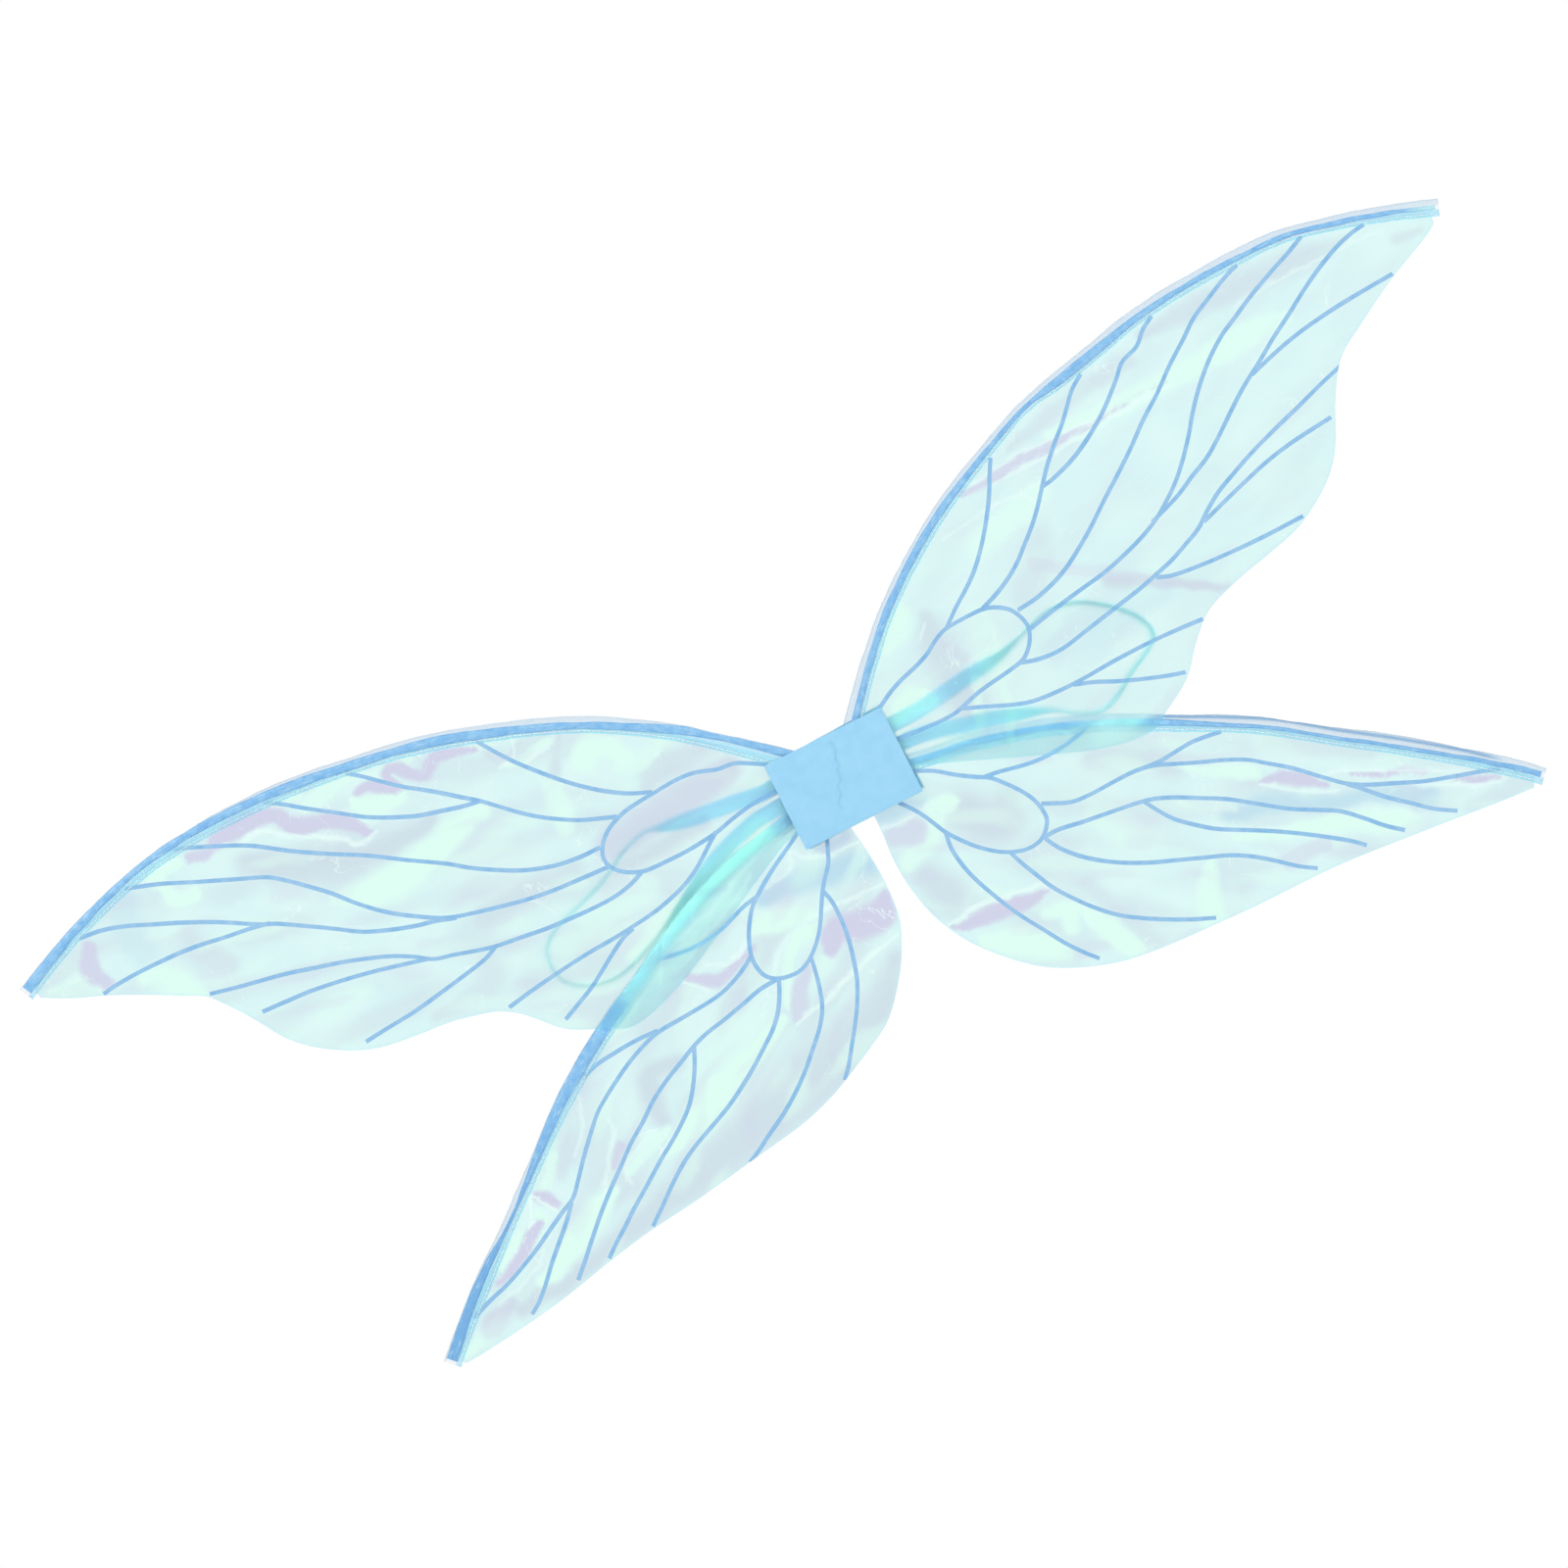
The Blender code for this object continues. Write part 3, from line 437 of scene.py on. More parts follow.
             (205, -150, 3)), (0.5, (120, -105, 9), (145, -112, 11), (165, -118, 8)),
            (0.8, (200, -138, 3), (212, -141, 4), (225, -147, 3), (232, -150, 1.5)),
            (1, (245, -155, 3), (258, -160, 7), (275, -168, 8), (295, -178, 6), (310, -183, 4)),
            (0.8, (268, -118, 3), (278, -130, 4), (285, -135, 3)), (1, (293, -145, 3), (292, -150, 3)),
            (1, (308, -151, 2), (318, -156, 3), (328, -163, 2)), (0.8, (362, -197, 4), (372, -200, 3))],
        "grey": [
            (0.8, (93, -50, 3), (90, -62, 3), (98, -68, 3)),
            (0.9, (100, -42, 4), (115, -47, 5), (130, -53, 4), (135, -58, 2)),
            (1, (25, -115, 8), (45, -135, 14), (80, -150, 22), (130, -158, 20), (180, -170, 14),
             (230, -178, 10), (280, -188, 7), (330, -192, 5)),
            (1, (175, -105, 6), (192, -103, 7), (197, -115, 8), (200, -130, 6)),
            (1, (332, -186, 4), (350, -191, 7))],
    },
}


# ================================================================ paths and distances
def resample(points, step):
    """Points about step apart on the smooth curve through the given ones."""
    known = np.array(points, float)
    ends = np.vstack([2 * known[0] - known[1], known, 2 * known[-1] - known[-2]])
    t = np.linspace(0, 1, 12, endpoint=False)[:, None]
    spans = [0.5 * (2 * b + (c - a) * t + (2 * a - 5 * b + 4 * c - d) * t ** 2
                    + (3 * b - 3 * c + d - a) * t ** 3)
             for a, b, c, d in zip(ends, ends[1:], ends[2:], ends[3:])]
    dense = np.vstack(spans + [known[-1:]])
    return even(dense, step)


def even(path, step):
    """The same line with its points about step apart."""
    run = np.concatenate([[0], np.cumsum(np.linalg.norm(np.diff(path, axis=0), axis=1))])
    at = np.linspace(0, run[-1], max(3, round(run[-1] / step) + 1))
    return np.column_stack([np.interp(at, run, path[:, k]) for k in range(path.shape[1])])


def unit(vectors):
    """The same directions at length 1, for one vector or for rows of them."""
    return vectors / np.linalg.norm(vectors, axis=-1, keepdims=True)


def across(path):
    """Unit vectors across the path, to the left of its direction."""
    ahead = np.gradient(path, axis=0)
    left = np.column_stack([-ahead[:, 1], ahead[:, 0]])
    return unit(left)


def near(points, path):
    """Each point's distance to the path, negative on its right."""
    spread = ((points[:, None, :] - path[None, :, :]) ** 2).sum(axis=2)
    index = spread.argmin(axis=1)
    offset = ((points - path[index]) * across(path)[index]).sum(axis=1)
    return np.sqrt(spread.min(axis=1)) * np.where(offset < 0, -1, 1)


def inside(points, ring):
    """True for the points that the closed ring goes round."""
    x, z = points[:, :1], points[:, 1:]
    ax, az = ring.T
    bx, bz = np.roll(ring, -1, axis=0).T
    crosses = ((az > z) != (bz > z)) & (x < (bx - ax) * (z - az) / (bz - az + 1e-12) + ax)
    return crosses.sum(axis=1) % 2 == 1


def ease(low, high, value):
    """0 at low, 1 at high and smooth between, where low may be the greater."""
    t = np.clip((value - low) / (high - low), 0, 1)
    return t * t * (3 - 2 * t)


def rough(points, size, seed):
    """Smooth noise from -1 to 1 over plane points, with bumps about size across."""
    return np.array([noise.noise((x / size, z / size, seed)) for x, z in points]) * 1.6


def hem_path(wing, side, step=HEM_STEP):
    """The wire's route along the hem."""
    return resample(WIRE_ROUTE[wing, side], step)


# ================================================================ meshes and materials
def place(flat, y, side):
    """Plane points (x, z) of one side at depth y, as points in space, in mm."""
    return np.column_stack([flat[:, 0] * MIRROR[side], np.broadcast_to(y, len(flat)), flat[:, 1]])


def mesh_piece(name, points, faces, looks, flip=False, sharp=None):
    """A mesh object from points in mm. Its 'rest' attribute keeps them for the materials.

    Edges that turn by more than sharp degrees stay sharp.
    """
    mesh = bpy.data.meshes.new(name)
    mesh.from_pydata((np.asarray(points) * MM).tolist(), [], [tuple(map(int, f)) for f in faces])
    for look in looks:
        mesh.materials.append(look)
    if flip:
        mesh.flip_normals()
    mesh.shade_smooth()
    if sharp:
        mesh.set_sharp_from_angle(angle=math.radians(sharp))
    made = bpy.data.objects.new(name, mesh)
    bpy.context.scene.collection.objects.link(made)
    chart(made, "rest", points)
    return made


def chart(piece, name, vectors):
    """A vector attribute for the materials, one vector for each vertex."""
    made = piece.data.attributes.new(name, "FLOAT_VECTOR", "POINT")
    made.data.foreach_set("vector", np.asarray(vectors, np.float32).ravel())


def paint(piece, name, channels):
    """A colour attribute from up to three lists of numbers from 0 to 1, one for each vertex."""
    count = len(piece.data.vertices)
    colour = np.ones((count, 4), np.float32)
    colour[:, :3] = 0
    for index, channel in enumerate(channels):
        colour[:, index] = np.clip(channel, 0, 1)
    piece.data.color_attributes.new(name, "FLOAT_COLOR", "POINT").data.foreach_set("color", colour.ravel())


def skin(count, total, closed=True, first=0):
    """Quads between total neighbouring rings of count points each."""
    span = count if closed else count - 1
    return [(first + r * count + i, first + r * count + (i + 1) % count,
             first + (r + 1) * count + (i + 1) % count, first + (r + 1) * count + i)
            for r in range(total - 1) for i in range(span)]


def bar(count, total):
    """The faces of a bar: its skin and its two ends."""
    last = (total - 1) * count
    return skin(count, total) + [tuple(range(count - 1, -1, -1)), tuple(range(last, last + count))]


class Nodes:
    """A node tree with short ways to add nodes and to join them."""

    def __init__(self, tree):
        self.tree = tree

    def set(self, node, sockets):
        """Join or set the node's sockets, by name or number."""
        for key, value in sockets.items():
            if isinstance(value, bpy.types.NodeSocket):
                self.tree.links.new(value, node.inputs[key])
            else:
                node.inputs[key].default_value = value

    def add(self, kind, sockets=None, **settings):
        """A new shader node."""
        node = self.tree.nodes.new("ShaderNode" + kind)
        for key, value in settings.items():
            setattr(node, key, value)
        self.set(node, sockets or {})
        return node


class Look(Nodes):
    """A material of one shader, with the patterns that its sockets read."""

    def __init__(self, name, colour, roughness, **sockets):
        self.material = bpy.data.materials.new(name)
        self.material.use_nodes = True
        super().__init__(self.material.node_tree)
        self.shader = self.tree.nodes["Principled BSDF"]
        self.set(self.shader, {"Base Color": (*colour, 1), "Roughness": roughness, **sockets})

    def rest(self, stretch=(1, 1, 1), turn=(0, 0, 0), name="rest"):
        """The place on the piece at rest, in mm, scaled and turned: in space, or along and across a hem."""
        place_node = self.add("Attribute", attribute_name=name)
        return self.add("Mapping", {"Vector": place_node.outputs["Vector"], "Scale": stretch,
                                    "Rotation": turn}).outputs["Vector"]

    def noise(self, size, detail=2.0, vector=None, roughness=0.5, distortion=0.0):
        """Noise from 0 to 1 with bumps about size mm across."""
        return self.add("TexNoise", {"Vector": vector or self.rest(), "Scale": 1 / size, "Detail": detail,
                                     "Roughness": roughness, "Distortion": distortion}).outputs["Fac"]

    def span(self, value, low, high, to_low=0.0, to_high=1.0):
        """value carried from the range low..high to to_low..to_high, held at its ends."""
        return self.add("MapRange", {"Value": value, "From Min": low, "From Max": high, "To Min": to_low,
                                     "To Max": to_high}).outputs["Result"]

    def math(self, operation, a, b=0.0):
        """a and b put together by a Math node."""
        return self.add("Math", {0: a, 1: b}, operation=operation).outputs["Value"]

    def mix(self, factor, a, b):
        """Colour a where factor is 0 and b where it is 1."""
        node = self.add("Mix", data_type="RGBA")
        keys = {"Factor": factor, 6: a, 7: b}
        self.set(node, {k: (*v, 1) if isinstance(v, tuple) and len(v) == 3 else v for k, v in keys.items()})
        return node.outputs[2]

    def bump(self, height, strength, distance_mm):
        """Small relief, where height goes from 0 to 1."""
        node = self.add("Bump", {"Height": height, "Strength": strength, "Distance": distance_mm * MM})
        self.set(self.shader, {"Normal": node.outputs["Normal"]})

    def colour(self, socket):
        """Give the shader its colour."""
        self.set(self.shader, {"Base Color": socket})

    def light_through(self, tint):
        """Lets the lamps' light through, tinted, to what is behind."""
        ray = self.add("LightPath")
        clear = self.add("BsdfTransparent", {"Color": (*tint, 1)})
        joined = self.add("MixShader", {0: ray.outputs["Is Shadow Ray"], 1: self.shader.outputs["BSDF"],
                                        2: clear.outputs["BSDF"]})
        self.set(self.tree.nodes["Material Output"], {"Surface": joined.outputs["Shader"]})

    def channels(self, name):
        """The three channels of a painted attribute."""
        read = self.add("Attribute", attribute_name=name)
        return self.add("SeparateColor", {"Color": read.outputs["Color"]}).outputs


def film_look():
    """Sheer iridescent film: a hazy cyan tint with grey, blue, mint and mauve where it is folded, all
    painted
    sheen and shade: mint glints, light crease lines and grey, blue and mauve shade.

    Its index is low because the sheet is a single layer: a higher one would make it a mirror from behind.
    """
    look = Look("iridescent_film", (0.51, 0.835, 0.825), 0.85, **{"IOR": 1.15, "Transmission Weight": 0.85,
                "Coat Weight": 0.3, "Coat Roughness": 0.12})
    mint, mauve, grey = [look.channels("sheen")[k] for k in range(3)]
    blue, line, edge = [look.channels("shade")[k] for k in range(3)]
    drift = look.span(look.noise(38, 3), 0.35, 0.65)
    base = look.mix(drift, (0.487, 0.797, 0.81), (0.533, 0.835, 0.818))
    # Painted shade and sheen: grey, blue and mauve shade, mint glints; blue just under the pads is their
    # shadow.
    with_grey = look.mix(grey, base, (0.412, 0.568, 0.66))
    with_blue = look.mix(blue, with_grey, (0.28, 0.553, 0.718))
    with_mint = look.mix(mint, with_blue, (0.545, 0.93, 0.78))
    with_mauve = look.mix(mauve, with_mint, (0.431, 0.451, 0.67))
    # Painted highlights along the crease lines.
    with_line_highlights = look.mix(look.math("MULTIPLY", line, 0.7), with_mauve, (0.67, 0.96, 0.895))
    # Painted highlights along fine creases, in patches; the bump raises the same creases.
    wrinkle = look.math("ABSOLUTE", look.math("SUBTRACT", look.noise(24, 3, distortion=0.7), 0.5))
    patch = look.span(look.noise(55, 2), 0.50, 0.62)
    crease = look.math("MULTIPLY", look.span(wrinkle, 0, 0.008, 1, 0), patch)
    creased = look.mix(look.math("MULTIPLY", crease, 0.55), with_line_highlights, (0.73, 0.97, 0.925))
    look.colour(look.mix(look.math("MULTIPLY", edge, 0.5), creased, (0.35, 0.75, 0.85)))
    grain = look.math("ADD", look.noise(4, 3), look.math("MULTIPLY", look.noise(0.7, 2), 0.2))
    look.bump(look.math("ADD", grain, crease), 0.3, 0.3)
    look.light_through((0.40, 0.46, 0.42))
    return look.material


def ink_look():
    """Printed blue veins, a little uneven."""
    look = Look("vein_ink", (0.25, 0.54, 0.79), 0.42)
    mottle = look.span(look.noise(5, 4), 0.3, 0.7)
    look.colour(look.mix(mottle, (0.18, 0.445, 0.76), (0.26, 0.54, 0.81)))
    look.bump(look.noise(1.1, 3), 0.3, 0.12)
    look.set(look.shader, {"Alpha": look.span(look.noise(9, 2), 0.3, 0.7, 0.86, 0.97)})
    return look.material


def sleeve_look():
    """The hem's folded film: pale and clear, aqua beside the stitches, with a thin printed streak."""
    look = Look("hem_film", (0.62, 0.78, 0.86), 0.25)
    aqua, streak, outside = [look.channels("zones")[k] for k in range(3)]
    uneven = look.span(look.noise(3, 3, look.rest((0.3, 1, 1), name="course")), 0.3, 0.7)
    pale = look.mix(uneven, (0.31, 0.57, 0.76), (0.42, 0.67, 0.84))
    with_aqua = look.mix(aqua, pale, (0.40, 0.83, 1.0))
    look.colour(look.mix(streak, with_aqua, (0.22, 0.42, 0.68)))
    look.bump(uneven, 0.2, 0.2)
    clear = look.math("ADD", look.span(uneven, 0.5, 1, 0.08, 0.14), look.math("MULTIPLY", outside, 0.30))
    marked = look.math("ADD", look.math("MULTIPLY", streak, 0.6), look.math("MULTIPLY", aqua, 0.42))
    look.set(look.shader, {"Alpha": look.math("ADD", clear, marked)})
    return look.material


def band_look():
    """The hem's printed blue band with painted highlight streaks, paler at the tip and under painted haze.
    """
    look = Look("hem_blue", (0.29, 0.59, 0.91), 0.4)
    course = look.rest((0.22, 1, 1), name="course")
    tip_fade_and_haze, deep = [look.channels("print_and_haze")[k] for k in (0, 1)]
    blue = look.mix(look.span(look.noise(5, 4), 0.32, 0.68), (0.185, 0.48, 0.85), (0.31, 0.62, 0.91))
    dark = look.mix(look.math("MULTIPLY", deep, 0.75), blue, (0.15, 0.42, 0.77))
    # Painted highlights: pale streaks along the band.
    painted_highlight_streaks = look.math("MULTIPLY", look.span(look.noise(1.6, 4, course), 0.54, 0.68), 0.5)
    with_painted_highlights = look.mix(painted_highlight_streaks, dark, (0.56, 0.80, 0.95))
    # Paler at the tip, and painted haze where the upper film lies over the hem.
    look.colour(look.mix(tip_fade_and_haze, with_painted_highlights, (0.60, 0.94, 0.93)))
    look.bump(look.math("ADD", look.noise(1.6, 3), look.noise(2, 3, course)), 0.4, 0.3)
    return look.material


def thread_look():
    """Pale, slightly uneven thread."""
    look = Look("stitch_thread", (0.72, 0.93, 0.98), 0.35)
    look.colour(look.mix(look.span(look.noise(2, 2), 0.3, 0.7), (0.90, 0.96, 0.99), (0.98, 1.0, 1.0)))
    look.bump(look.noise(0.35, 2), 0.3, 0.05)
    return look.material


def felt_look():
    """Pressed light blue felt: matted fibres, faint blotches and a short nap."""
    look = Look("felt", (0.36, 0.69, 0.94), 0.95, **{"Specular IOR Level": 0.15, "Sheen Weight": 0.12,
                "Sheen Roughness": 0.5, "Sheen Tint": (0.8, 0.92, 1, 1)})
    blotch = look.span(look.noise(9, 4), 0.3, 0.7)
    fibre = look.noise(0.8, 4, look.rest((1, 1, 2.6), (0, 0.6, 0)), 0.7, 1.5)
    soft = look.mix(blotch, (0.345, 0.69, 0.935), (0.40, 0.74, 0.975))
    matted = look.mix(look.span(fibre, 0.30, 0.62, 0.5, 0.0), soft, (0.29, 0.62, 0.89))
    # Painted shade along the felt's crease.
    painted_crease_shade = look.math("MULTIPLY", look.channels("painted_crease_shade")[0], 0.3)
    look.colour(look.mix(painted_crease_shade, matted, (0.27, 0.57, 0.82)))
    look.bump(look.math("ADD", fibre, look.math("MULTIPLY", look.noise(0.35, 2), 0.5)), 0.5, 0.35)
    return look.material


def elastic_look():
    """Braided elastic: ribs along it come from the mesh, and cross threads from here."""
    look = Look("elastic", (0.46, 0.75, 0.95), 0.7, **{"Sheen Weight": 0.1})
    rows, far = [look.channels("braid")[k] for k in (0, 1)]
    weave = look.span(rows, 0.2, 0.8)
    tone = look.mix(weave, (0.43, 0.69, 0.93), (0.61, 0.85, 0.99))
    uneven = look.mix(look.span(look.noise(14, 3), 0.35, 0.65, 0, 0.4), tone, (0.49, 0.81, 0.97))
    # Painted sheen: the far run is mixed towards aqua, standing in for the film's mint sheen over it.
    look.colour(look.mix(look.math("MULTIPLY", far, 0.85), uneven, (0.27, 0.82, 0.82)))
    look.bump(look.math("ADD", weave, look.noise(0.3, 2)), 0.5, 0.25)
    return look.material


def steel_look():
    """Drawn spring steel."""
    look = Look("spring_steel", (0.6, 0.61, 0.63), 0.3, Metallic=1.0)
    drawn = look.noise(0.5, 3)
    look.set(look.shader, {"Roughness": look.span(drawn, 0.3, 0.7, 0.24, 0.42)})
    look.bump(drawn, 0.15, 0.04)
    return look.material


def card_look():
    """Mottled grey card."""
    look = Look("grey_card", (0.8, 0.8, 0.78), 0.85)
    mottle = look.span(look.noise(1.2, 4), 0.3, 0.7)
    look.colour(look.mix(mottle, (0.70, 0.70, 0.67), (0.86, 0.86, 0.83)))
    look.bump(look.noise(0.6, 3), 0.3, 0.1)
    return look.material


# ================================================================ film
MESH_STEP = 2.1
VEIN_STEP = 3.0
CREASE_STEP = 1.8
STROKE_STEP = 1.5
# Places of the mesh's rows beside a crease, and how clear of a row, the cut edge and a vein's edge its
# other points stay.
CREASE_ROWS = (-1.6, 0, 1.6)
ROW_CLEAR, RIM_CLEAR, VEIN_CLEAR = 1.1, 0.55 * MESH_STEP, 0.7
FILM_UNDER_HEM = 2.0
# The heights and sizes of the film's swells, and how far it may sink towards the next layer.
SWELLS = [(1.7, 110), (0.7, 46), (0.25, 17)]
DEEPEST = 1.3
# Loose sheen: how much of it, the streaks' lower and upper level, their size and their seed.
LOOSE = {"grey": (1.6, -0.5, 0.8, 17, 0), "mint": (1.3, 0.1, 0.9, 13, 9), "mauve": (0.7, 0.2, 0.9, 11, 15)}
# How the streaks lie, in degrees, and how wide they are for their length.
STREAK_TURN = {"upper": 15, "lower": -32}
STREAK_SQUEEZE = 0.33


def ribbon(path, width):
    """Left and right edges of a printed line along the path."""
    sway = 1 + 0.07 * rough(path, 30, 5)
    half = across(path) * (width / 2 * sway)[:, None]
    return path + half, path - half


def film_ring(wing, side):
    """The film's cut outline: under the hem to the tip, back along the free edge and round its tab."""
    hem = hem_path(wing, side, MESH_STEP)
    leading = hem - across(hem) * FILM_UNDER_HEM
    free = resample(FREE_EDGE[wing, side], MESH_STEP)
    closing = even(np.vstack([free[-1:], FILM_TAB[wing, side], leading[:1]]), MESH_STEP)
    tip = even(np.vstack([leading[-1:], free[:1]]), MESH_STEP)
    return np.vstack([leading, tip[1:-1], free, closing[1:-1]])


def crease_rows(wing, side):
    """Points along the light lines and beside them, so that the mesh can fold sharply there."""
    rows = []
    for _, *route in SHEENS[wing, side]["line"]:
        path = resample(route, CREASE_STEP)[:, :2]
        rows += [path + across(path) * away for away in CREASE_ROWS]
    return np.vstack(rows)


def film_grid(ring, veins, rows):
    """Even points inside the ring, clear of its edge, the veins' edges and the crease rows."""
    low, high = ring.min(axis=0), ring.max(axis=0)
    levels = np.arange(low[1], high[1], MESH_STEP * 0.866)
    lines = [np.arange(low[0] + (k % 2) * MESH_STEP / 2, high[0], MESH_STEP) for k in range(len(levels))]
    grid = np.vstack([np.column_stack([line, np.full(len(line), z)]) for line, z in zip(lines, levels)])
    grid = grid[np.abs(near(grid, rows)) > ROW_CLEAR]
    grid = np.vstack([rows, grid])
    grid = grid[inside(grid, ring)]
    grid = grid[np.abs(near(grid, np.vstack([ring, ring[:1]]))) > RIM_CLEAR]
    for path in veins:
        gap = np.abs(np.abs(near(grid, path)) - VEIN_WIDTH / 2)
        grid = grid[gap > VEIN_CLEAR]
    return grid


def film_net(wing, side):
    """Triangles of the film in its plane, with the veins' edges as lines of the mesh."""
    ring = film_ring(wing, side)
    veins = [resample(v, VEIN_STEP) for v in VEINS[wing, side]]
    verts, faces = [p for p in ring], [list(range(len(ring)))]
    for path in veins:
        left, right = ribbon(path, VEIN_WIDTH)
        first = len(verts)
        verts += [p for pair in zip(left, right) for p in pair]
        faces += [[first + 2 * i, first + 2 * i + 1, first + 2 * i + 3, first + 2 * i + 2]
                  for i in range(len(path) - 1)]
    verts += [p for p in film_grid(ring, veins, crease_rows(wing, side))]
    ccw = [f if turn_of(np.array([verts[i] for i in f])) > 0 else f[::-1] for f in faces]
    out = delaunay_2d_cdt([Vector(p) for p in verts], [], ccw, 1, 1e-4)
    points = np.array([tuple(v) for v in out[0]])
    kept = [(f, any(o > 0 for o in origin)) for f, origin in zip(out[2], out[5]) if 0 in origin]
    return points, [f for f, _ in kept], [ink for _, ink in kept]


def turn_of(ring):
    """Twice the signed area of a closed ring."""
    ahead = np.roll(ring, -1, axis=0)
    return (ring[:, 0] * ahead[:, 1] - ahead[:, 0] * ring[:, 1]).sum()


def cover(points, route, soft):
    """How far each point lies under a stroke: 1 inside it, falling to 0 over its soft edge."""
    path = resample(route, STROKE_STEP)
    reach = path[:, 2].max() * (1 + soft)
    low, high = path[:, :2].min(axis=0) - reach, path[:, :2].max(axis=0) + reach
    close = ((points > low) & (points < high)).all(axis=1)
    gap = np.sqrt(((points[close][:, None, :] - path[None, :, :2]) ** 2).sum(axis=2))
    share = np.zeros(len(points))
    share[close] = ease(1 + soft, 1 - soft, (gap / path[:, 2]).min(axis=1))
    return share


def streaks(points, wing, size, seed):
    """Noise in soft streaks that run along the wing."""
    lie = math.radians(STREAK_TURN[wing])
    along = points @ (math.cos(lie), math.sin(lie))
    aside = points @ (-math.sin(lie), math.cos(lie))
    return rough(np.column_stack([along * STREAK_SQUEEZE, aside]), size, seed)


def tones(points, wing, side):
    """Each tone's share of each point of the film."""
    seed = {"upper": 23, "lower": 31}[wing] + {"right": 0, "left": 50}[side]
    sway = [1.3 * rough(points, 14, seed + k) + 0.5 * rough(points, 5, seed + k + 5) for k in (0, 1)]
    warped = points + np.column_stack(sway)
    shares = {tone: np.zeros(len(points)) for tone in FOLD_HEIGHT}
    for tone, strokes in SHEENS[wing, side].items():
        for strength, *route in strokes:
            shares[tone] = np.maximum(shares[tone], strength * cover(warped, route, STROKE_SOFT[tone]))
    for tone, (much, low, high, size, shift) in LOOSE.items():
        share = much * HAZE[wing, side] * ease(low, high, streaks(warped, wing, size, seed + shift))
        shares[tone] = np.maximum(shares[tone], share)
    return shares


def relief(points, shares, wing, side):
    """How far the film stands out of its plane at each point, in mm."""
    hem = near(points, hem_path(wing, side))
    from_pad = ease(46, 90, np.hypot(points[:, 0], points[:, 1]))
    seed = {"upper": 3, "lower": 17}[wing] + {"right": 0, "left": 40}[side]
    swell = sum(high * rough(points, size, seed + k) for k, (high, size) in enumerate(SWELLS))
    folds = sum(FOLD_HEIGHT[tone] * share for tone, share in shares.items())
    height = swell * ease(9, 26, -hem) * from_pad + folds * ease(5, 9, -hem)
    return np.where(height < 0, DEEPEST * np.tanh(height / DEEPEST), height)


def make_film(wing, side, looks):
    """A wing's film with its veins and folds, and the area of its cut outline in square mm."""
    points, faces, inks = film_net(wing, side)
    shares = tones(points, wing, side)
    y = LAYER_Y[wing] + OUTWARD[wing] * relief(points, shares, wing, side)
    name = f"wing_film_{wing}_{side}"
    piece = mesh_piece(name, place(points, y, side), faces, [looks["film"], looks["ink"]],
                       flip=side == "left")
    piece.data.polygons.foreach_set("material_index", np.array(inks, np.int32))
    ring = film_ring(wing, side)
    rim = near(points, np.vstack([ring, ring[:1]]))
    # Painted glints and shade: mint, mauve, grey, blue (with the pads' shadow), crease highlights, cut
    # edge.
    paint(piece, "sheen", [shares["mint"], shares["mauve"], shares["grey"]])
    paint(piece, "shade", [shares["blue"], shares["line"], ease(1.6, 0.2, np.abs(rim))])
    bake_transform(piece)
    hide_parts(f"film_{wing}_{side}", f"film_root_{wing}_{side}")
    return piece, abs(turn_of(ring)) / 2


# ================================================================ hems, wires, stitches
BAND_SIDES = 16
BAND_HALF_THICK = 1.15
SLEEVE_STEPS = 12
SLEEVE_HALF_THICK = 1.46
FILM_HALF_THICK = 0.2
WIRE_STEP, WIRE_SIDES = 1.8, 12
OUTWARD_Y = np.array([0.0, 1.0, 0.0])
STITCH_PITCH = 3.1
STITCH_LENGTH = 2.95
THREAD_R = 0.26
THREAD_SIDES = 5
# Along a stitch: how far it has run, its thread's radius and how high it lies over the film.
STITCH_SHAPE = [(0.0, 0.04, 0.1), (0.35, THREAD_R, 0.34), (STITCH_LENGTH / 2, THREAD_R, 0.42),
                (STITCH_LENGTH - 0.35, THREAD_R, 0.34), (STITCH_LENGTH, 0.04, 0.1)]


def hem_core(wing, side, step):
    """The hem's centre line, from under the pad to past the wire's end."""
    path = hem_path(wing, side, step)
    back, ahead = path[0] - path[1], path[-1] - path[-2]
    lead = path[0] + unit(back) * HEM_LEAD * np.array([[1.0], [0.66], [0.33]])
    tip = path[-1] + unit(ahead) * TIP_LENGTH * np.array([[0.6], [1.0]])
    return np.vstack([lead, path, tip])


def run_of(path, lead=0.0):
    """How far along the path each of its points is, from where the lead ends."""
    return np.concatenate([[0], np.cumsum(np.linalg.norm(np.diff(path, axis=0), axis=1))]) - lead


def hem_lines(path, run, wing, side):
    """The fold's, the band's outer and inner edges' and the stitches' places beside the path."""
    rows = np.array(HEMS[wing, side], float)
    fold, outer, inner, seam = [np.interp(run, rows[:, 0], rows[:, k]) for k in (1, 2, 3, 4)]
    fold = fold + 0.25 * rough(path, 18, 4) + 0.15 * rough(path, 5, 6)
    outer = np.minimum(outer + 0.3 * rough(path, 16, 2), fold - 0.35)
    inner = inner + 0.3 * rough(path, 12, 8)
    return fold, outer, inner, seam + 0.15 * rough(path, 6, 9)


def painted_haze(path, run, wing, side):
    """How much painted haze pales the band at each place along the hem, under the upper film."""
    start, end, share = PAINTED_HAZE_ON_HEMS.get((wing, side), (0, 1, 0))
    uneven = 1 + 0.12 * rough(path, 11, 21)
    return share * ease(start, start + 25, run) * ease(end, end - 15, run) * uneven


def under_pad(run):
    """How full a hem is: half as deep where the pad presses it."""
    return 0.5 + 0.5 * ease(-HEM_LEAD, 5, run)


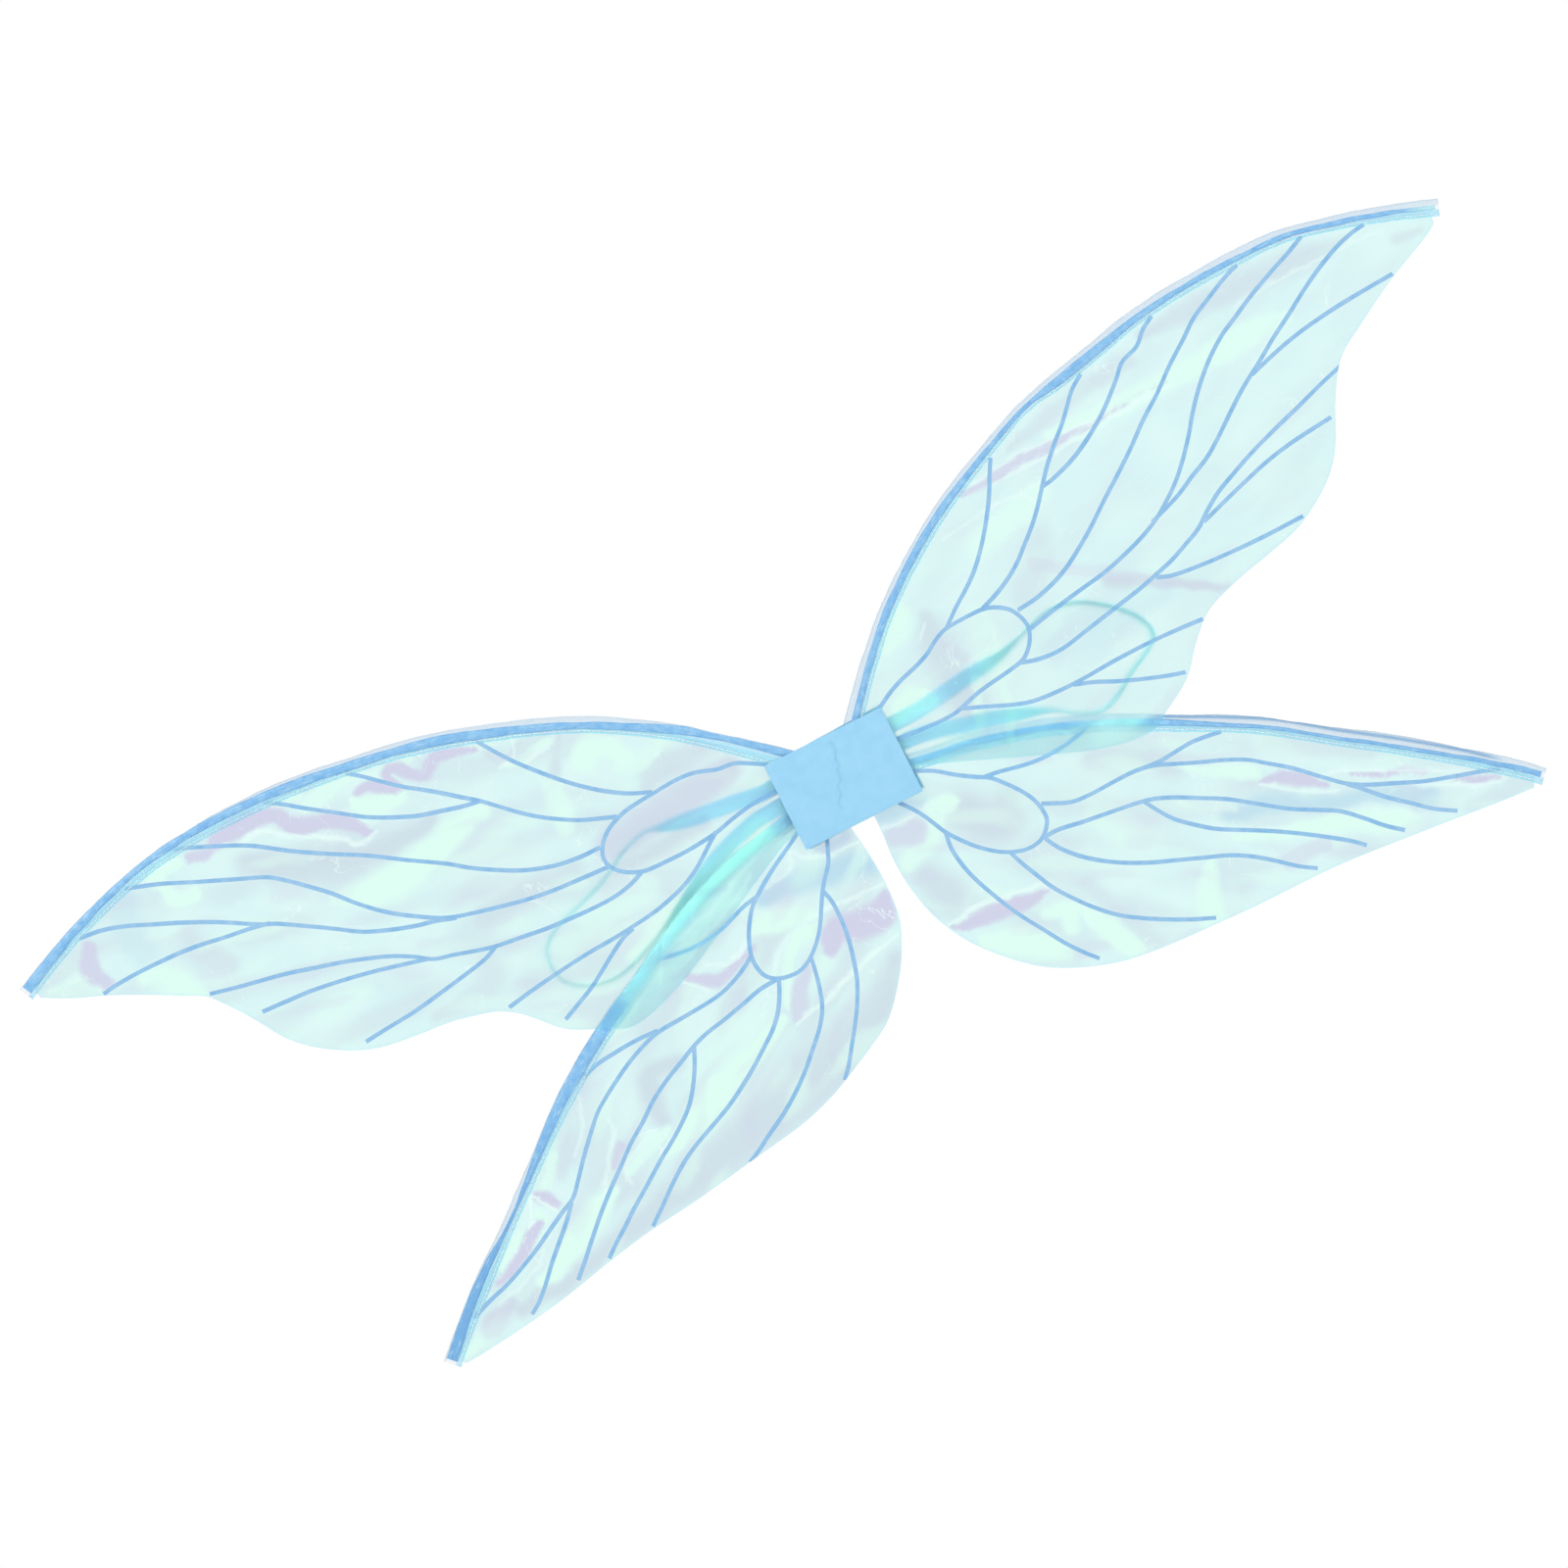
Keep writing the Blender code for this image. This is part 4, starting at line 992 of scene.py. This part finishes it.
def make_band(wing, side, looks):
    """The flattened, slightly uneven tube of printed film round the wire."""
    path = hem_core(wing, side, HEM_STEP)[:-1]
    run = run_of(path, HEM_LEAD)
    _, outer, inner, _ = hem_lines(path, run, wing, side)
    full = under_pad(run)
    full[-1] = 0.35
    angles = 2 * math.pi * np.arange(BAND_SIDES) / BAND_SIDES
    middle, half = (outer + inner) / 2, (outer - inner) / 2
    aside = middle[:, None] + half[:, None] * np.cos(angles)
    bulge = np.copysign(np.abs(np.sin(angles)) ** 0.8, np.sin(angles))
    flat = path[:, None] + across(path)[:, None] * aside[:, :, None]
    depth = LAYER_Y[wing] + BAND_HALF_THICK * full[:, None] * bulge
    name = f"hem_band_{wing}_{side}"
    piece = mesh_piece(name, place(flat.reshape(-1, 2), depth.ravel(), side), bar(BAND_SIDES, len(path)),
                       [looks["band"]], flip=side == "left", sharp=50)
    chart(piece, "course", np.column_stack([np.repeat(run, BAND_SIDES), aside.ravel(), aside.ravel() * 0]))
    # The tip fades; where the upper film lies over the hem, painted haze pales the band.
    tip = TIP_FADE.get((wing, side), 0) * ease(-24, -6, run - run[-1])
    tip_fade_and_haze = np.maximum(painted_haze(path, run, wing, side), tip)
    deep = DEEP_PRINT.get((wing, side), 0) * ease(200, 330, run)
    paint(piece, "print_and_haze", [np.repeat(tip_fade_and_haze, BAND_SIDES), np.repeat(deep, BAND_SIDES)])
    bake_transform(piece)
    roots = [f"hem_root_{wing}_{side}"] if wing == "upper" else []
    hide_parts(f"hem_{wing}_{side}", f"tip_tab_{wing}_{side}", *roots)
    return piece


def sleeve_section(fold, seam):
    """The folded film's outline from its front edge round the fold to its back edge: across and depth."""
    wide = np.concatenate([[seam - 1.6, seam - 0.6, seam], np.linspace(seam + 0.6, fold, SLEEVE_STEPS)])
    opened = ease(seam, seam + 1.6, wide) * ease(fold + 0.2, fold - 1.8, wide)
    deep = FILM_HALF_THICK + (SLEEVE_HALF_THICK - FILM_HALF_THICK) * opened
    deep[2], deep[-1] = 0.14, 0
    return np.concatenate([wide, wide[-2::-1]]), np.concatenate([deep, -deep[-2::-1]])


def sleeve_zones(wide, lines, streak, pale):
    """Shares of aqua beside the stitches, of the thin streak and of clear film outside the band."""
    fold, outer, inner, _ = lines
    # The aqua gives way to painted haze where the upper film lies over the hem.
    aqua = ease(inner + 0.4, inner - 0.4, wide) * (1 - 0.9 * pale)
    drawn = streak * np.exp(-((wide - STREAK_AT) / STREAK_HALF) ** 2)
    outside = ease(outer - 0.3, outer + 0.3, wide) * (0.6 + 0.4 * np.exp(-((wide - fold) / 0.6) ** 2))
    return np.column_stack([aqua, drawn, outside])


def make_sleeve(wing, side, looks):
    """The clear film folded round band and wire and stitched down."""
    path = hem_core(wing, side, HEM_STEP)
    left, run = across(path), run_of(path, HEM_LEAD)
    lines = np.column_stack(hem_lines(path, run, wing, side))
    # Painted haze where the upper film lies over this hem; it takes the aqua away.
    pale = painted_haze(path, run, wing, side)
    streak = ease(0, 15, np.minimum(run - STREAK_RUN[0], STREAK_RUN[1] - run))
    streak = streak * float((wing, side) == STREAKED_HEM)
    closing = 0.25 + 0.75 * ease(0, 3, np.arange(len(path))[::-1])
    full = np.minimum(closing, under_pad(run))
    points, zones, course = [], [], []
    for i, centre in enumerate(path):
        wide, deep = sleeve_section(lines[i, 0], lines[i, 3])
        flat = centre + left[i] * wide[:, None]
        points.append(place(flat, LAYER_Y[wing] - deep * full[i], side))
        zones.append(sleeve_zones(wide, lines[i], streak[i], pale[i]))
        course.append(np.column_stack([np.full(len(wide), run[i]), wide, deep]))
    count = len(wide)
    faces = skin(count, len(path), closed=False)
    last = (len(path) - 1) * count
    faces += [(last + k, last + k + 1, last + count - 2 - k, last + count - 1 - k)
              for k in range(count // 2 - 1)]
    name = f"hem_sleeve_{wing}_{side}"
    piece = mesh_piece(name, np.vstack(points), faces, [looks["sleeve"]], flip=side == "left")
    chart(piece, "course", np.vstack(course))
    paint(piece, "zones", np.vstack(zones).T)
    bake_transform(piece)
    return piece


def stitch(here, there, face, wing, side):
    """One stitch on the front (face -1) or the back (face 1) of the hem, as rings of points."""
    ahead = unit(there - here)
    wide = np.array([-ahead[1], ahead[0]])
    run, radius, lift = np.repeat(np.array(STITCH_SHAPE), THREAD_SIDES, axis=0).T
    angle = np.tile(2 * math.pi * np.arange(THREAD_SIDES) / THREAD_SIDES, len(STITCH_SHAPE))
    flat = here + np.outer(run, ahead) + np.outer(radius * np.cos(angle), wide)
    return place(flat, LAYER_Y[wing] + face * (lift + radius * np.sin(angle)), side)


def make_stitches(wing, side, looks):
    """Lockstitches along the hem, on its front and its back."""
    path = even(hem_core(wing, side, 1.0), STITCH_PITCH)
    seam = hem_lines(path, run_of(path, HEM_LEAD), wing, side)[3]
    line = path + across(path) * seam[:, None]
    stitches = [stitch(here, there, face, wing, side)
                for here, there in zip(line[2:-2], line[3:-1]) for face in (-1, 1)]
    size = THREAD_SIDES * len(STITCH_SHAPE)
    faces = [face for k in range(len(stitches))
             for face in skin(THREAD_SIDES, len(STITCH_SHAPE), first=k * size)]
    piece = mesh_piece(f"hem_stitches_{wing}_{side}", np.vstack(stitches), faces, [looks["thread"]])
    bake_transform(piece)
    return piece


def tube(path, radius, sides):
    """Points and faces of a round bar along a path in space, with closed ends."""
    ahead = unit(np.gradient(path, axis=0))
    wide = unit(np.cross(ahead, OUTWARD_Y))
    thick = np.cross(wide, ahead)
    angles = np.linspace(0, 2 * math.pi, sides, endpoint=False)
    rings = (path[:, None, :] + radius * (wide[:, None, :] * np.cos(angles)[None, :, None]
                                          + thick[:, None, :] * np.sin(angles)[None, :, None]))
    return rings.reshape(-1, 3), bar(sides, len(path))


def make_wire(wing, side, looks):
    """The spring wire from its hook between the pads to just before the hem's tip."""
    path = hem_path(wing, side)
    _, outer, inner, _ = hem_lines(path, run_of(path), wing, side)
    core = path + across(path) * ((outer + inner) / 2)[:, None]
    flat = resample(np.vstack([WIRE_HOOK[wing, side], core[:-1:3]]), WIRE_STEP)
    points, faces = tube(place(flat, LAYER_Y[wing], side), WIRE_R, WIRE_SIDES)
    piece = mesh_piece(f"spring_wire_{wing}_{side}", points, faces, [looks["steel"]], sharp=50)
    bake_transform(piece)
    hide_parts(f"wire_{wing}_{side}", f"wire_shank_{wing}_{side}")
    return piece


# ================================================================ straps and pads
STRAP_STEP = 1.25
RIBS = 5
# The loops lie on their edges, a little off upright, in degrees.
STRAP_LEAN = 83.0
# Where the straps' held ends lie between the card and the back pad.
STRAP_HELD_X = (STRAP_END_X, 30)
FELT_CREASE = [(3, 23.5), (3.5, 18), (1, 14), (1.5, 9), (-1, 5), (-2, 0), (-5, -3), (-6, -8), (-9, -11),
               (-8, -18)]
FELT_COLUMNS, FELT_ROWS = 81, 59
FELT_CREASE_HEIGHT = 0.9
FELT_ROUNDING = 0.55


def strap_section():
    """The braided ribbon's outline with its round ribs, in halves of its width and of its thickness."""
    steps = RIBS * 6
    top = []
    for k in range(steps + 1):
        t = -1 + 2 * k / steps
        rib = abs(math.sin(math.pi * RIBS * (t + 1) / 2)) ** 0.6
        top.append((t, (0.62 + 0.38 * rib) * (1 if 0 < k < steps else 0.45)))
    return top + [(a, -b) for a, b in reversed(top)]


def strap_path(side):
    """The elastic's whole route, with its ends between the card and the back pad."""
    route = STRAP_ROUTE[side]
    start = [(x, *route[0][1:3], 0) for x in STRAP_HELD_X]
    end = [(x, *route[-1][1:3], 0) for x in reversed(STRAP_HELD_X)]
    return resample(start + route + end, STRAP_STEP)


def make_strap(side, looks):
    """The elastic loop with both of its ends, turned onto its edge where its route says so."""
    path = strap_path(side)
    places = place(path[:, :2], path[:, 2], side)
    ahead = unit(np.gradient(places, axis=0))
    flat = unit(np.cross(OUTWARD_Y, ahead))
    twist = np.radians(np.minimum(path[:, 3:], STRAP_LEAN))
    wide = flat * np.cos(twist) + OUTWARD_Y * np.sin(twist)
    wide = unit(wide - ahead * (wide * ahead).sum(axis=1, keepdims=True))
    thick = np.cross(ahead, wide)
    aside, above = (np.array(strap_section()) * np.array(STRAP_SIZE) / 2).T
    points = places[:, None] + wide[:, None] * aside[:, None] + thick[:, None] * above[:, None]
    count = len(aside)
    braid = 0.5 + 0.5 * np.sin(np.arange(len(path))[:, None] * 2.1 + np.arange(count) * 0.52)
    piece = mesh_piece(f"shoulder_strap_{side}", points.reshape(-1, 3), bar(count, len(path)),
                       [looks["elastic"]], sharp=60)
    # The second channel is painted sheen: aqua towards the far run, where the film lies over it.
    paint(piece, "braid", [braid.ravel(), np.repeat(ease(75, 150, path[:, 0]), count)])
    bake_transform(piece)
    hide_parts(f"strap_{side}", f"strap_end_upper_{side}", f"strap_end_lower_{side}")
    return piece


def felt_grid(turn, shift):
    """Even grid over the pad, in its own and in the pads' plane."""
    xs = np.linspace(-PAD_SIZE[0] / 2, PAD_SIZE[0] / 2, FELT_COLUMNS)
    zs = np.linspace(-PAD_SIZE[1] / 2, PAD_SIZE[1] / 2, FELT_ROWS)
    own = np.array([(x, z) for z in zs for x in xs])
    spin = np.array(Matrix.Rotation(turn, 2))
    return own, own @ spin.T + shift, len(xs), len(zs)


def felt_relief(own, crease):
    """How far the felt's face stands out at each point, in mm, and how much painted shade lies along its
    crease.
    """
    soft = 0.14 * rough(own, 15, 11) + 0.05 * rough(own, 4, 12)
    if not crease:
        return soft, np.zeros(len(own))
    away = near(own, resample(FELT_CREASE, 1.0)) + 0.6 * rough(own, 4, 15)
    creased = ease(26, 14, np.abs(own[:, 1] - 4))
    ridge = FELT_CREASE_HEIGHT * np.exp(-(away / 1.4) ** 2) * np.sign(away) * creased
    return soft + ridge, np.exp(-(away / 0.8) ** 2) * creased


def felt_faces(columns, rows):
    """Front, back and rim of a patch whose two sides are grids of columns by rows points."""
    total = columns * rows
    front = skin(columns, rows, closed=False)
    back = [tuple(total + i for i in reversed(f)) for f in front]
    border = (list(range(columns)) + [r * columns + columns - 1 for r in range(1, rows)]
              + [total - 1 - i for i in range(1, columns)] + [r * columns for r in range(rows - 2, 0, -1)])
    return front + back + [(a, a + total, b + total, b) for a, b in zip(border, border[1:] + border[:1])]


def make_pad(name, outer_y, face, turn, shift, crease, looks, replaced):
    """A felt patch: face -1 looks away from the wearer. Its back stays flat."""
    own, plane, columns, rows = felt_grid(turn, shift)
    rim = np.minimum(PAD_SIZE[0] / 2 - np.abs(own[:, 0]), PAD_SIZE[1] / 2 - np.abs(own[:, 1]))
    soft, painted_crease_shade = felt_relief(own, crease)
    rounded = FELT_ROUNDING * (1 - ease(0, 1.3, rim))
    plane = plane * (1 + 0.0022 * rough(own, 9, 14))[:, None]
    top = place(plane, outer_y - face * rounded + face * soft * 0.6, "right")
    base = place(plane, outer_y - face * (FELT_THICK - 0.02), "right")
    piece = mesh_piece(name, np.vstack([top, base]), felt_faces(columns, rows), [looks["felt"]],
                       flip=face > 0, sharp=60)
    paint(piece, "painted_crease_shade", [np.concatenate([painted_crease_shade, painted_crease_shade * 0])])
    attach(piece, "pad")
    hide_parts(replaced)
    return piece


# ================================================================ camera, light and floor
CAMERA_ROLL = math.radians(28.6)
CAMERA_PLACE = (-0.0347, -2.2745, 0.0141)
# Half the floor's width, its front and back edge and its height, in mm.
FLOOR_HALF, FLOOR_FRONT, FLOOR_BACK, FLOOR_Z = 2600, -3200, 300, -800


def make_camera():
    """At right angles to the wings, rolled so that they fly up to the right."""
    data = bpy.data.cameras.new("camera")
    data.lens = 85
    data.sensor_width = 36
    data.clip_start = 0.05
    data.clip_end = 50
    camera = bpy.data.objects.new("camera", data)
    bpy.context.scene.collection.objects.link(camera)
    right = Vector((math.cos(CAMERA_ROLL), 0, -math.sin(CAMERA_ROLL)))
    up = Vector((math.sin(CAMERA_ROLL), 0, math.cos(CAMERA_ROLL)))
    turn = Matrix((right, up, right.cross(up))).transposed()
    camera.matrix_world = Matrix.Translation(CAMERA_PLACE) @ turn.to_4x4()
    bpy.context.scene.camera = camera


def make_world():
    """White behind the wings and through them, with softer light from the sides than from above."""
    world = bpy.data.worlds.new("studio")
    bpy.context.scene.world = world
    world.use_nodes = True
    nodes = Nodes(world.node_tree)
    back = nodes.tree.nodes["Background"]
    nodes.set(back, {"Color": (1, 1, 1, 1)})
    direction = nodes.add("TexCoord").outputs["Generated"]
    height = nodes.add("SeparateXYZ", {"Vector": direction}).outputs["Z"]
    strength = nodes.add("MapRange", {"Value": height, "From Min": -1, "To Min": 0.55, "To Max": 1.0})
    light = nodes.add("Background", {"Strength": strength.outputs["Result"]})
    ray = nodes.add("LightPath").outputs
    straight = nodes.add("Math", {0: ray["Is Camera Ray"], 1: ray["Is Transmission Ray"]},
                         operation="MAXIMUM")
    mix = nodes.add("MixShader", {0: straight.outputs["Value"], 1: light.outputs["Background"],
                                  2: back.outputs["Background"]})
    nodes.set(nodes.tree.nodes["World Output"], {"Surface": mix.outputs["Shader"]})


def make_light(name, location, size, watts):
    """A soft rectangular lamp that looks at the wings' middle."""
    data = bpy.data.lights.new(name, "AREA")
    data.shape = "RECTANGLE"
    data.size, data.size_y = size
    data.energy = watts
    lamp = bpy.data.objects.new(name, data)
    lamp.location = location
    lamp.rotation_euler = (-Vector(location)).to_track_quat("-Z", "Y").to_euler()
    bpy.context.scene.collection.objects.link(lamp)


def make_floor():
    """A pale floor under the wings, which ends just behind them."""
    corners = [(-FLOOR_HALF, FLOOR_FRONT, FLOOR_Z), (FLOOR_HALF, FLOOR_FRONT, FLOOR_Z),
               (FLOOR_HALF, FLOOR_BACK, FLOOR_Z), (-FLOOR_HALF, FLOOR_BACK, FLOOR_Z)]
    mesh_piece("floor", corners, [(0, 1, 2, 3)], [floor_look()])


def floor_look():
    """Pale paper, hardly uneven."""
    look = Look("pale_floor", (0.9, 0.9, 0.9), 0.8)
    look.colour(look.mix(look.noise(300, 3), (0.90, 0.905, 0.91), (0.93, 0.93, 0.935)))
    return look.material


def make_stage():
    """Camera, light and floor, and how the picture is made of them."""
    make_camera()
    make_world()
    make_light("key", (-1.3, -2.2, 1.9), (1.4, 0.9), 26)
    make_light("fill", (1.9, -2.0, 0.3), (1.2, 1.6), 10)
    make_light("rim", (0.4, 2.0, 1.4), (1.2, 1.2), 12)
    make_floor()
    bpy.context.scene.view_settings.view_transform = "Standard"
    bpy.context.scene.cycles.transparent_max_bounces = 24
    bpy.context.scene.cycles.max_bounces = 8


def main():
    looks = {"film": film_look(), "ink": ink_look(), "sleeve": sleeve_look(), "band": band_look(),
             "thread": thread_look(), "felt": felt_look(), "elastic": elastic_look(), "steel": steel_look()}
    make_stage()
    for wing, side in WINGS:
        film, area = make_film(wing, side, looks)
        trims = [make_band(wing, side, looks), make_sleeve(wing, side, looks),
                 make_stitches(wing, side, looks), make_wire(wing, side, looks)]
    for side in MIRROR:
        make_strap(side, looks)
    front = make_pad("felt_front", FRONT_PAD_BACK_Y - FELT_THICK, -1, FRONT_PAD_TURN, FRONT_PAD_SHIFT, True,
                     looks, "front_pad")
    back = make_pad("felt_back", 0.0, 1, 0.0, (0, 0), False, looks, "back_pad")
    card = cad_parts["core_card"]
    card.data.materials.clear()
    card.data.materials.append(card_look())


main()
